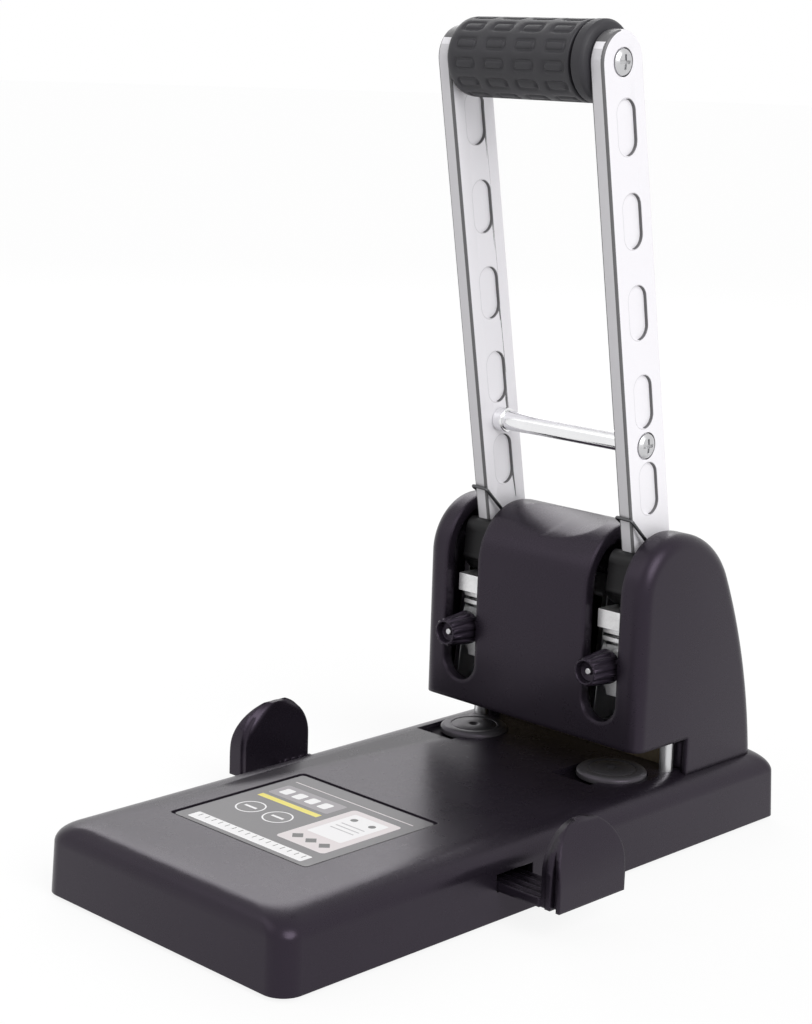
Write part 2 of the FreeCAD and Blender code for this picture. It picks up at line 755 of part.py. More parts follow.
def guide_tray():
    """Channel under the deck that carries both bars and the pinion's post."""
    floor_z = BAR_UNDERSIDE - MOVING_GAP / 2
    front, _ = bar_span(1)
    _, back = bar_span(-1)
    half = half_base - BASE_DRAFT - BASE_WALL - 3.0
    floor = block(-half, half, front - 4.0, back + 4.0, floor_z - 2.0, floor_z)
    rails = []
    lip_z = BAR_UNDERSIDE + BAR_THICKNESS + MOVING_GAP / 2
    top = deck_z - BASE_WALL
    for y0, y1, lip0, lip1 in (
        (front - 4.0, front - MOVING_GAP, front - 4.0, front + 3.0),
        (back + MOVING_GAP, back + 4.0, back - 3.0, back + 4.0),
    ):
        rails.append(block(-half, half, y0, y1, floor_z, lip_z))
        rails.append(block(-half, half, lip0, lip1, lip_z, lip_z + 1.6))
        middle = (y0 + y1) / 2
        for x in (-deck_half + 8.0, deck_half - 8.0):
            rails.append(rod_z(x, middle, lip_z + 1.0, top, 6.0))
    post = rod_z(0, GUIDE_MIDDLE, floor_z - 1.0, lip_z + 1.0, PINION_POST)
    return joined([floor, post] + rails)


# ------------------------------------------------------------------ head frame
def pedestal():
    """Casting behind the throat that carries the stripper plate."""
    half = pedestal_half
    body = block(-half, half, pedestal_front, pedestal_back, deck_z, plate_bottom)
    body = softened(body, 4.0, lambda edge: edge.Length < plate_bottom - deck_z + 0.1)
    cuts = []
    for x, y in frame_bolt_places():
        cuts.append(rod_z(x, y, deck_z - 1.0, plate_bottom + 1.0, BOLT_DIAMETER))
    near = BOLT_SPREAD + 1.5 * BOLT_DIAMETER
    far = half - 5.0
    for x0, x1 in ((near, far), (-far, -near)):
        cuts.append(
            block(x0, x1, pedestal_front + 4.0, pedestal_back - 4.0, deck_z - 1, plate_bottom - 6)
        )
    return body.cut(cuts)


def stop_posts():
    """Two polished posts that the paper's edge meets, with a spigot at each end."""
    spigot = POST_SPIGOT / 2
    radius = POST_DIAMETER / 2
    outline = [
        (0, under_deck - STIFFENER_THICKNESS),
        (spigot, under_deck - STIFFENER_THICKNESS),
        (spigot, deck_z),
        (radius, deck_z),
        (radius, plate_bottom),
        (spigot, plate_bottom),
        (spigot, plate_top),
        (0, plate_top),
    ]
    posts = [turned(outline, Vector(side * lane_x, post_y, 0), Z_AXIS) for side in (-1, 1)]
    return Part.makeCompound(posts)


def bracket_screw_places():
    """Screws through a bracket's foot, for the right side."""
    return [(bracket_x + dx, bracket_back - 9.0) for dx in (-7.0, 7.0)]


def stripper_plate():
    """Steel plate over the throat.  The punches pass through it and it strips the paper off them."""
    half = half_cover - COVER_WALL - 2.0
    front = cover_front + COVER_WALL + 1.0
    plate = block(-half, half, front, pedestal_back, plate_bottom, plate_top)
    plate = softened(plate, 5.0, lambda edge: edge.Length < PLATE_THICKNESS + 0.1)
    cuts = []
    for side in (-1, 1):
        x = side * disc_x
        cuts.append(
            rod_z(x, punch_y, plate_bottom - 1, plate_top + 1, HOLE_DIAMETER + 2 * RUNNING_FIT)
        )
        cuts.append(rod_z(x, rod_y, plate_bottom - 1, plate_top + 1, GUIDE_ROD_DIAMETER - 1.5))
        cuts.append(
            rod_z(side * lane_x, post_y, plate_bottom - 1, plate_top + 1, POST_SPIGOT)
        )
        for sx, sy in bracket_screw_places():
            cuts.append(rod_z(side * sx, sy, plate_bottom - 1, plate_top + 1, SCREW_DIAMETER))
    for x, y in frame_bolt_places():
        cuts.append(rod_z(x, y, plate_bottom - 1, plate_top + 1, BOLT_DIAMETER))
    return plate.cut(cuts)


def frame_bolts():
    """Hexagon bolts from below, through stiffener, deck and pedestal, with nuts on the plate."""
    bolts = []
    for x, y in frame_bolt_places():
        head_top = under_deck - STIFFENER_THICKNESS
        head = hexagon(x, y, head_top - 4.0, head_top, 10.0)
        shank = rod_z(x, y, head_top, plate_top + 6.0, BOLT_DIAMETER)
        nut = hexagon(x, y, plate_top, plate_top + 5.0, 10.0)
        bolts.append(joined([head, shank, nut]))
    return Part.makeCompound(bolts)


def hexagon(x, y, z0, z1, across_flats):
    radius = across_flats / math.sqrt(3)
    points = []
    for index in range(6):
        angle = math.radians(60 * index)
        points.append(Vector(x + radius * math.cos(angle), y + radius * math.sin(angle), z0))
    return polygon(points, Z_AXIS * (z1 - z0))


def bracket():
    """Bent steel bracket of the right side: two cheeks, a back web and a foot."""
    inner = BRACKET_INNER / 2
    outer = inner + BRACKET_THICKNESS
    top_radius = 10.0
    front = axle_y - top_radius
    low = plate_top
    back = bracket_back
    shoulder_z = AXLE_HEIGHT - 12.0

    def cheek(x0):
        corners = [
            Vector(x0, front - 6.0, low),
            Vector(x0, back, low),
            Vector(x0, back, shoulder_z),
            Vector(x0, axle_y + top_radius, AXLE_HEIGHT),
            Vector(x0, axle_y, AXLE_HEIGHT + top_radius),
            Vector(x0, front, AXLE_HEIGHT),
        ]
        edges = [
            line(corners[0], corners[1]),
            line(corners[1], corners[2]),
            line(corners[2], corners[3]),
            arc(corners[3], corners[4], corners[5]),
            line(corners[5], corners[0]),
        ]
        return Part.Face(Part.Wire(edges)).extrude(X_AXIS * BRACKET_THICKNESS)

    left = cheek(bracket_x - outer)
    right = cheek(bracket_x + inner)
    web = block(
        bracket_x - inner, bracket_x + inner, back - BRACKET_THICKNESS, back, low, shoulder_z
    )
    foot = block(
        bracket_x - inner, bracket_x + inner, back - 16.0, back, low, low + BRACKET_THICKNESS
    )
    body = joined([left, right, web, foot])
    cuts = [rod_x(axle_y, AXLE_HEIGHT, bracket_x - 20, bracket_x + 20, AXLE_DIAMETER)]
    for x, y in bracket_screw_places():
        cuts.append(rod_z(x, y, low - 1, low + BRACKET_THICKNESS + 1, SCREW_DIAMETER))
    return body.cut(cuts)


def bracket_screws():
    """Pan screws that hold the brackets to the stripper plate."""
    screws = []
    top = plate_top + BRACKET_THICKNESS
    for side in (-1, 1):
        for x, y in bracket_screw_places():
            head = rod_z(side * x, y, top, top + 2.6, 2 * SCREW_DIAMETER)
            shank = rod_z(side * x, y, plate_bottom, top, SCREW_DIAMETER)
            screws.append(joined([head, shank]))
    return Part.makeCompound(screws)


def axle_half_length():
    return bracket_x + BRACKET_INNER / 2 + BRACKET_THICKNESS + AXLE_END


def pivot_axle():
    """One axle through both brackets and both arms, grooved at its ends."""
    half = axle_half_length()
    axle = rod_x(axle_y, AXLE_HEIGHT, -half, half, AXLE_DIAMETER)
    axle = softened(axle, 0.6, lambda edge: abs(abs(edge.CenterOfMass.x) - half) < 0.01)
    for side in (-1, 1):
        middle = side * (half - AXLE_END + RING_SEAT)
        reach = RING_THICKNESS / 2 + RUNNING_FIT
        groove = rod_x(axle_y, AXLE_HEIGHT, middle - reach, middle + reach, AXLE_DIAMETER + 4)
        core = rod_x(axle_y, AXLE_HEIGHT, middle - reach, middle + reach, AXLE_DIAMETER - 2.4)
        axle = axle.cut(groove.cut(core))
    return axle


def axle_rings():
    """Spring clips in the grooves of the axle."""
    rings = []
    for side in (-1, 1):
        middle = side * (axle_half_length() - AXLE_END + RING_SEAT)
        reach = RING_THICKNESS / 2
        ring = rod_x(axle_y, AXLE_HEIGHT, middle - reach, middle + reach, AXLE_DIAMETER + 5.0)
        bore = rod_x(axle_y, AXLE_HEIGHT, middle - 1, middle + 1, AXLE_DIAMETER - 2.3)
        mouth = block(
            middle - 1,
            middle + 1,
            axle_y - 2.2,
            axle_y + 2.2,
            AXLE_HEIGHT - AXLE_DIAMETER,
            AXLE_HEIGHT,
        )
        rings.append(ring.cut([bore, mouth]))
    return Part.makeCompound(rings)


# ------------------------------------------------------------------ punches
def punch_carrier():
    """Die-cast slide of the right punch: head for the cam, ribbed neck, clamp body, rod lug."""
    x = disc_x
    half = CARRIER_WIDTH / 2
    head_half = CARRIER_HEAD_WIDTH / 2
    back = punch_y + CARRIER_BACK
    front = punch_y - CARRIER_FRONT

    def slab(half_width, ahead, z0, z1):
        return block(x - half_width, x + half_width, punch_y - ahead, back, z0, z1)

    head = slab(head_half, CARRIER_HEAD_FRONT, head_bottom, carrier_top)
    neck = slab(half - 1.5, CARRIER_NECK_FRONT, neck_bottom, head_bottom)
    ribs = []
    for share in (0.22, 0.64):
        z = head_bottom - CARRIER_NECK_HEIGHT * share
        z0 = z - NECK_RIB_THICKNESS / 2
        ribs.append(slab(NECK_RIB_WIDTH / 2, CARRIER_RIB_FRONT, z0, z0 + NECK_RIB_THICKNESS))
    foot = half - CARRIER_TAPER
    waist = carrier_bottom + CARRIER_TAPER_HEIGHT
    body = polygon(
        [
            Vector(x - foot, front, carrier_bottom),
            Vector(x + foot, front, carrier_bottom),
            Vector(x + half, front, waist),
            Vector(x + half, front, neck_bottom),
            Vector(x - half, front, neck_bottom),
            Vector(x - half, front, waist),
        ],
        Y_AXIS * (back - front),
    )
    boss = rod_y_dir(x, KNOB_HEIGHT, knob_back + MOVING_GAP, punch_y, CARRIER_WIDTH)
    lug_back = rod_y + GUIDE_ROD_DIAMETER / 2 + 3.0
    lug = block(x - half, x + half, punch_y, lug_back, lug_bottom, neck_bottom)
    upright = neck_bottom - lug_bottom
    lug = softened(
        lug,
        0.75 * half,
        lambda edge: edge.BoundBox.YMin > lug_back - 0.1 and edge.BoundBox.ZLength > 0.9 * upright,
    )
    carrier = joined([head, neck, body, boss, lug] + ribs)
    hub_room = 2 * (hub_radius + CARRIER_HUB_GAP)
    relief = rod_x(axle_y, AXLE_HEIGHT, x - OVERCUT, x + OVERCUT, hub_room)
    punch_bore = rod_z(x, punch_y, carrier_bottom - 1, neck_bottom, SHANK_DIAMETER)
    rod_bore = rod_z(
        x, rod_y, carrier_bottom - 1, neck_bottom + 1, GUIDE_ROD_DIAMETER + 2 * RUNNING_FIT
    )
    stud_bore = rod_y_dir(
        x, KNOB_HEIGHT, knob_back - OVERCUT, punch_y, STUD_DIAMETER + 2 * RUNNING_FIT
    )
    chip_window = rod_x(punch_y, carrier_bottom + 8.0, x - OVERCUT, x + OVERCUT, 4.0)
    return carrier.cut([relief, punch_bore, rod_bore, stud_bore, chip_window])


def hollow_punch():
    """Hardened tube of the right side with a ground cutting edge and a window for the chips."""
    cut_r = HOLE_DIAMETER / 2
    shank_r = SHANK_DIAMETER / 2
    bore_r = PUNCH_BORE / 2
    outline = [
        (bore_r, tip_rest + 2.4),
        (cut_r - 0.15, tip_rest),
        (cut_r, tip_rest + 0.3),
        (cut_r, carrier_bottom - 0.2),
        (shank_r, carrier_bottom),
        (shank_r, neck_bottom),
        (bore_r, neck_bottom),
    ]
    tube = turned(outline, Vector(disc_x, punch_y, 0), Z_AXIS)
    window = rod_x(punch_y, carrier_bottom + 8.0, disc_x - OVERCUT, disc_x + OVERCUT, 3.6)
    flat = rod_y_dir(disc_x, KNOB_HEIGHT, punch_y - 8.0, punch_y, STUD_DIAMETER + 0.6)
    return tube.cut([window, flat])


def knob():
    """Tapered knob of the right side, fluted along its length, with a cupped front."""
    centre = Vector(disc_x, knob_front, KNOB_HEIGHT)
    bore = STUD_DIAMETER / 2
    outline = [
        (bore, KNOB_CUP_DEPTH),
        (KNOB_CUP_RADIUS - 0.5, KNOB_CUP_DEPTH - 0.3),
        (KNOB_CUP_RADIUS - 0.2, 0.4),
        (KNOB_CUP_RADIUS, 0.0),
        (KNOB_FRONT_RADIUS - 0.6, 0.0),
        (KNOB_FRONT_RADIUS, 0.7),
        (KNOB_BACK_RADIUS, KNOB_LENGTH - 2.0),
        (KNOB_BACK_RADIUS, KNOB_LENGTH),
        (bore, KNOB_LENGTH),
    ]
    body = turned(outline, centre, Y_AXIS)
    flutes = []
    for index in range(KNOB_FLUTES):
        angle = 2 * math.pi * index / KNOB_FLUTES
        radial = Vector(math.cos(angle), 0, math.sin(angle))
        start = centre + radial * (KNOB_FRONT_RADIUS + 0.35) - Y_AXIS
        end = centre + radial * (KNOB_BACK_RADIUS + 0.35) + Y_AXIS * (KNOB_LENGTH - 1.6)
        way = end - start
        length = way.Length
        way.normalize()
        flutes.append(Part.makeCylinder(KNOB_FLUTE_RADIUS, length, start, way))
    return body.cut(flutes)


def knob_stud():
    """Steel stud moulded into the knob; its tip clamps the punch."""
    y0 = knob_front + 2.2
    stud = rod_y_dir(disc_x, KNOB_HEIGHT, y0, punch_y - SHANK_DIAMETER / 2, STUD_DIAMETER)
    return softened(stud, 0.5, lambda edge: abs(edge.CenterOfMass.y - y0) < 0.01)


def guide_rods():
    """Polished rods on the stripper plate that keep the carriers upright."""
    rods = []
    top = AXLE_HEIGHT - hub_radius - 1.4
    for side in (-1, 1):
        x = side * disc_x
        rod = rod_z(x, rod_y, plate_top, top, GUIDE_ROD_DIAMETER)
        spigot = rod_z(x, rod_y, plate_bottom, plate_top, GUIDE_ROD_DIAMETER - 1.5)
        rods.append(joined([rod, spigot]))
    return Part.makeCompound(rods)


def helix_sweep(centre, axis, radius, wire, pitch, turns, left_hand):
    """Round wire wound along a helix about an axis that starts at the centre."""
    helix = Part.makeHelix(pitch, pitch * turns, radius, 0, left_hand)
    profile = Part.Wire(Part.makeCircle(wire / 2, Vector(radius, 0, 0), Y_AXIS))
    coil = Part.Wire(helix.Edges).makePipeShell([profile], True, True)
    coil.Placement = FreeCAD.Placement(centre, FreeCAD.Rotation(Z_AXIS, axis))
    return coil


def return_spring():
    """Compression spring round the right guide rod, under the carrier's lug."""
    radius = (SPRING_DIAMETER - SPRING_WIRE) / 2
    z0 = plate_top + SPRING_WIRE / 2 + 0.05
    z1 = lug_bottom - SPRING_WIRE / 2 - 0.05
    pitch = (z1 - z0) / SPRING_TURNS
    return helix_sweep(
        Vector(disc_x, rod_y, z0), Z_AXIS, radius, SPRING_WIRE, pitch, SPRING_TURNS, False
    )


# ------------------------------------------------------------------ head cover
def cover_side_edges(inset):
    """Side outline of the cover from the front bottom, over the crown, to the back bottom."""
    crown_y = cover_front + COVER_FRONT_RADIUS
    x = 0.0
    front_r = COVER_FRONT_RADIUS - inset
    back_r = COVER_BACK_RADIUS - inset
    front_centre = Vector(x, crown_y, COVER_CROWN - COVER_FRONT_RADIUS)
    back_centre = Vector(x, crown_y, COVER_CROWN - COVER_BACK_RADIUS)
    turn = math.radians(90 - COVER_CROWN_TURN)
    half_turn = math.radians(90 - COVER_CROWN_TURN / 2)

    def ray(centre, radius, angle):
        return centre + Vector(0, radius * math.cos(angle), radius * math.sin(angle))

    bottom = deck_z - OVERCUT
    start = Vector(x, cover_front + inset, bottom)
    front_low = front_centre + Vector(0, -front_r, 0)
    front_mid = ray(front_centre, front_r, math.radians(135))
    crown = Vector(x, crown_y, COVER_CROWN - inset)
    back_mid = ray(back_centre, back_r, half_turn)
    back_low = ray(back_centre, back_r, turn)
    foot = Vector(x, foot_back - inset, deck_z)
    chord = foot - back_low
    outward = Vector(0, -chord.z, chord.y)
    outward.normalize()
    from_tangent = math.atan2(-chord.z, chord.y) - math.radians(COVER_CROWN_TURN)
    bulge = chord.Length / 2 * math.tan(from_tangent / 2)
    belly = (back_low + foot) * 0.5 + outward * bulge
    end = Vector(x, foot.y, bottom)
    return [
        line(start, front_low),
        arc(front_low, front_mid, crown),
        arc(crown, back_mid, back_low),
        arc(back_low, belly, foot),
        line(foot, end),
        line(end, start),
    ]


def cover_form(inset):
    """Outside of the cover, or the same form further in, running on below the deck."""
    half = half_cover - inset
    face = Part.Face(Part.Wire(cover_side_edges(inset)))
    face.translate(Vector(-half, 0, 0))
    form = face.extrude(X_AXIS * (2 * half))
    radius = COVER_EDGE_RADIUS - inset

    def on_side(edge):
        box = edge.BoundBox
        flat = box.XLength < 0.01 and abs(abs(box.XMin) - half) < 0.01
        return flat and box.ZMax > deck_z + 1.0 or flat and box.ZLength > 1.0

    return softened(form, radius, on_side)


def scoop_tool(drop):
    """Large cylinder, rising to the back, that hollows the middle of the crown."""
    slope = math.radians(SCOOP_SLOPE)
    way = Vector(0, math.cos(slope), math.sin(slope))
    up = Vector(0, -math.sin(slope), math.cos(slope))
    lip = Vector(0, cover_front + COVER_TO_DISC, SCOOP_FRONT_HEIGHT - drop)
    start = lip + up * SCOOP_RADIUS - way * 120.0
    tool = Part.makeCylinder(SCOOP_RADIUS, 240.0, start, way)
    half = disc_x - SLOT_WIDTH / 2
    keep = block(-half, half, cover_front - 60.0, foot_back + 60.0, deck_z, COVER_CROWN + 2 * OVERCUT)
    return tool.common(keep)


def slot_form(width, bottom, back):
    """Round-bottomed slot of the right side, cut from the front and over the crown."""
    radius = width / 2
    x = disc_x
    y0 = cover_front - OVERCUT
    top = COVER_CROWN + OVERCUT
    corners = [
        Vector(x - radius, y0, top),
        Vector(x - radius, y0, bottom + radius),
        Vector(x, y0, bottom),
        Vector(x + radius, y0, bottom + radius),
        Vector(x + radius, y0, top),
    ]
    edges = [
        line(corners[0], corners[1]),
        arc(corners[1], corners[2], corners[3]),
        line(corners[3], corners[4]),
        line(corners[4], corners[0]),
    ]
    return Part.Face(Part.Wire(edges)).extrude(Y_AXIS * (back - y0))


def head_cover():
    """Moulded cover with two long slots, a scooped middle and a foot on each side."""
    outer = cover_form(0.0).cut(scoop_tool(0.0))
    inner = cover_form(COVER_WALL).cut(scoop_tool(COVER_WALL))
    deep = cover_form(SLOT_RIM_DEPTH - 4.0)
    rims = []
    slots = []
    wall = SLOT_RIM_WALL
    rim = slot_form(SLOT_WIDTH + 2 * wall, SLOT_BOTTOM - wall, slot_back + wall)
    rim = rim.common(outer).cut(deep)
    slot = slot_form(SLOT_WIDTH, SLOT_BOTTOM, slot_back)
    for flip in (False, True):
        rims.append(mirrored(rim) if flip else rim)
        slots.append(mirrored(slot) if flip else slot)
    cover = joined([outer.cut(inner)] + rims)
    cover = cover.cut(slots)
    wide = half_cover + OVERCUT
    ahead = cover_front - OVERCUT
    behind = base_back + OVERCUT
    below = block(-wide, wide, ahead, behind, deck_z - 2 * OVERCUT, deck_z - SHOULDER_DROP)
    throat = block(-wide, wide, ahead, foot_front, deck_z - SHOULDER_DROP - 1, cover_underside)
    bosses = []
    boss_top = deck_z + COVER_BOSS_HEIGHT
    for x, y in cover_screw_places():
        post = rod_z(x, y, deck_z - SHOULDER_DROP, boss_top, COVER_BOSS)
        wall_x = math.copysign(half_cover - COVER_WALL / 2, x)
        near, far = min(x, wall_x), max(x, wall_x)
        rib = block(near, far, y - 1.0, y + 1.0, deck_z - SHOULDER_DROP, boss_top)
        bosses.append(joined([post, rib]))
    cover = joined([cover.cut([below, throat])] + bosses)
    holes = [
        rod_z(x, y, deck_z - OVERCUT, boss_top - 3.0, SCREW_DIAMETER - 1.0)
        for x, y in cover_screw_places()
    ]
    base_end = base_form(0.0).common(block(-wide, wide, ahead, behind, rim_z, deck_z))
    return cover.cut(holes).cut(base_end)


def head_cover_parts():
    """The cover in six pieces that meet at the planes of the slots' edges."""
    cover = head_cover()
    inner = disc_x - SLOT_WIDTH / 2
    outer = disc_x + SLOT_WIDTH / 2
    far = half_cover + OVERCUT
    front = cover_front - OVERCUT
    back = base_back + OVERCUT
    top = COVER_CROWN + OVERCUT

    def piece(x0, x1, y0, y1):
        return cover.common(block(x0, x1, y0, y1, 0.0, top))

    parts = {
        "head_cover_back": piece(-outer, outer, slot_back, back),
        "head_cover_middle": piece(-inner, inner, front, slot_back),
    }
    parts.update(both_sides("head_cheek", piece(outer, far, front, back)))
    parts.update(both_sides("slot_sill", piece(inner, outer, front, slot_back)))
    return parts


def cover_screws():
    """Screws from below the stiffener into the cover's bosses."""
    screws = []
    for x, y in cover_screw_places():
        top = under_deck - STIFFENER_THICKNESS
        head = rod_z(x, y, top - 0.6 * SCREW_DIAMETER, top, 2 * SCREW_DIAMETER - 1.0)
        shank = rod_z(x, y, top, deck_z + COVER_BOSS_HEIGHT - 4.0, SCREW_DIAMETER - 1.0)
        screws.append(joined([head, shank]))
    return Part.makeCompound(screws)


# ------------------------------------------------------------------ lever
def lean(shape):
    """Turns what is drawn upright over the axle to the arm's lean."""
    shape.rotate(Vector(0, axle_y, AXLE_HEIGHT), X_AXIS, ARM_LEAN)
    return shape


def arm_point(reach):
    """Point on the arm's middle line, measured from the axle."""
    lean_angle = math.radians(ARM_LEAN)
    return axle_y - reach * math.sin(lean_angle), AXLE_HEIGHT + reach * math.cos(lean_angle)


def arm():
    """Right lever arm: flat bar with round ends, shallow oblong pockets on both faces."""
    x0 = arm_x - arm_half
    middle = Vector(x0, axle_y, AXLE_HEIGHT + ARM_REACH / 2)
    bar = oblong(middle, Z_AXIS, Y_AXIS, ARM_REACH + ARM_WIDTH, ARM_WIDTH, X_AXIS * ARM_THICKNESS)
    bar = softened(bar, ARM_EDGE_RADIUS, lambda edge: edge.BoundBox.XLength < 0.01)
    cuts = []
    for index in range(POCKET_COUNT):
        z = AXLE_HEIGHT + POCKET_FIRST + POCKET_PITCH * index
        for face, way in ((x0, 1.0), (x0 + ARM_THICKNESS, -1.0)):
            seat = Vector(face - way, axle_y, z)
            depth = X_AXIS * (way * (POCKET_DEPTH + 1.0))
            cuts.append(oblong(seat, Z_AXIS, Y_AXIS, POCKET_LENGTH, POCKET_WIDTH, depth))
    cuts.append(rod_x(axle_y, AXLE_HEIGHT, x0 - 1, x0 + 10, AXLE_DIAMETER + 2 * RUNNING_FIT))
    for reach in (CROSSBAR_REACH, ARM_REACH):
        z = AXLE_HEIGHT + reach
        cuts.append(rod_x(axle_y, z, x0 - 1, x0 + 10, SCREW_DIAMETER + 1.0))
        cuts.append(rod_x(axle_y, z, x0 + ARM_THICKNESS - 1.0, x0 + 10, ARM_SCREW_HEAD + 1.0))
    pin_y, pin_z = pin_place()
    arm_solid = lean(bar.cut(cuts))
    return arm_solid.cut(rod_x(pin_y, pin_z, x0 - 1, x0 + 10, PIN_DIAMETER))


def pin_place():
    """Cross pin that holds cam fork and arm together, near the arm's front edge."""
    y, z = arm_point(21.0)
    return y - hub_radius + 5.0, z - 2.0


def cam_fork():
    """Right cam lever: a fork that clasps the arm and carries the cam.

    The cam is an involute of a circle about the axle.  It meets the flat top of the
    carrier right above the punch at every angle, so the punch moves by the same amount
    for each degree of the lever.
    """
    x0 = arm_x - CAM_WIDTH / 2

    def at(y, z):
        return Vector(x0, axle_y + y, AXLE_HEIGHT + z)

    steps = 12
    curve = []
    for index in range(steps + 1):
        angle = math.radians(LEVER_SWING) * index / steps
        drop = CAM_BASE_HEIGHT + cam_rate * angle
        y = -cam_rate * math.cos(angle) - drop * math.sin(angle)
        z = cam_rate * math.sin(angle) - drop * math.cos(angle)
        curve.append(at(y, z))
    spline = Part.BSplineCurve()
    spline.interpolate(curve)

    start = curve[0]
    nose = curve[-1]
    hub_side = math.sqrt(hub_radius ** 2 - CAM_BASE_HEIGHT ** 2)
    hub_front = at(-hub_side, -CAM_BASE_HEIGHT)
    bearing = math.atan2(-CAM_BASE_HEIGHT, -hub_side) + 2 * math.pi
    lean_angle = math.radians(ARM_LEAN)
    across = Vector(0, math.cos(lean_angle), math.sin(lean_angle))
    hub_back = at(0, 0) + across * hub_radius
    hub_low_angle = (bearing + lean_angle + 2 * math.pi) / 2
    hub_low = at(hub_radius * math.cos(hub_low_angle), hub_radius * math.sin(hub_low_angle))
    up_arm = Vector(0, -math.sin(lean_angle), math.cos(lean_angle))
    back_top = hub_back + up_arm * ((CAM_TOP - hub_back.z) / up_arm.z - 4.0)
    front_top = Vector(x0, nose.y + 4.5, CAM_TOP)
    front_high = Vector(x0, nose.y + 0.4, CAM_TOP - 6.0)
    front_mid = Vector(x0, nose.y + 1.4, CAM_TOP - 1.9)
    nose_top = Vector(x0, nose.y - 0.6, nose.z + 3.0)
    nose_mid = Vector(x0, nose.y - 0.9, nose.z + 1.3)
    edges = [
        spline.toShape(),
        arc(nose, nose_mid, nose_top),
        line(nose_top, front_high),
        arc(front_high, front_mid, front_top),
        line(front_top, back_top),
        line(back_top, hub_back),
        arc(hub_back, hub_low, hub_front),
        line(hub_front, start),
    ]
    fork = solid_from(edges, X_AXIS * CAM_WIDTH)
    arm_slot_front = -hub_radius
    beyond = CAM_TOP - AXLE_HEIGHT + 2 * OVERCUT
    slot = block(
        arm_x - arm_half, arm_x + arm_half, axle_y + arm_slot_front, axle_y + beyond,
        AXLE_HEIGHT, AXLE_HEIGHT + beyond,
    )
    slot = lean(slot)
    hub_slot = rod_x(axle_y, AXLE_HEIGHT, arm_x - arm_half, arm_x + arm_half, ARM_WIDTH)
    hub_room = block(
        arm_x - arm_half, arm_x + arm_half, axle_y, axle_y + beyond,
        AXLE_HEIGHT - beyond, AXLE_HEIGHT + beyond,
    )
    far_side = x0 + CAM_WIDTH + 1
    bore = rod_x(axle_y, AXLE_HEIGHT, x0 - 1, far_side, AXLE_DIAMETER + 2 * RUNNING_FIT)
    pin_y, pin_z = pin_place()
    pin_hole = rod_x(pin_y, pin_z, x0 - 1, far_side, PIN_DIAMETER)
    return fork.cut([slot, hub_slot, hub_room, bore, pin_hole])


def cam_pins():
    """Domed cross pins through fork and arm."""
    y, z = pin_place()
    pins = []
    half = CAM_WIDTH / 2
    for side in (-1, 1):
        x = side * arm_x
        shank = rod_x(y, z, x - half, x + half, PIN_DIAMETER)
        heads = []
        for end in (-1, 1):
            ball = Part.makeSphere(3.4, Vector(x + end * (half - 1.9), y, z))
            keep_from = x + half if end > 0 else x - half - 3.0
            heads.append(ball.common(block(keep_from, keep_from + 3.0, y - 5, y + 5, z - 5, z + 5)))
        pins.append(joined([shank] + heads))
    return Part.makeCompound(pins)


def bent_path(points, bend):
    """Edges along the points, each corner rounded by the same tangent arc."""
    edges = []
    start = points[0]
    for before, corner, after in zip(points, points[1:], points[2:]):
        inward = corner - before
        onward = after - corner
        inward.normalize()
        onward.normalize()
        half_turn = inward.getAngle(onward) / 2
        setback = bend * math.tan(half_turn)
        bend_start = corner - inward * setback
        bend_end = corner + onward * setback
        outward = inward - onward
        outward.normalize()
        middle = corner - outward * (bend / math.cos(half_turn) - bend)
        edges.append(line(start, bend_start))
        edges.append(arc(bend_start, middle, bend_end))
        start = bend_end
    edges.append(line(start, points[-1]))
    return edges


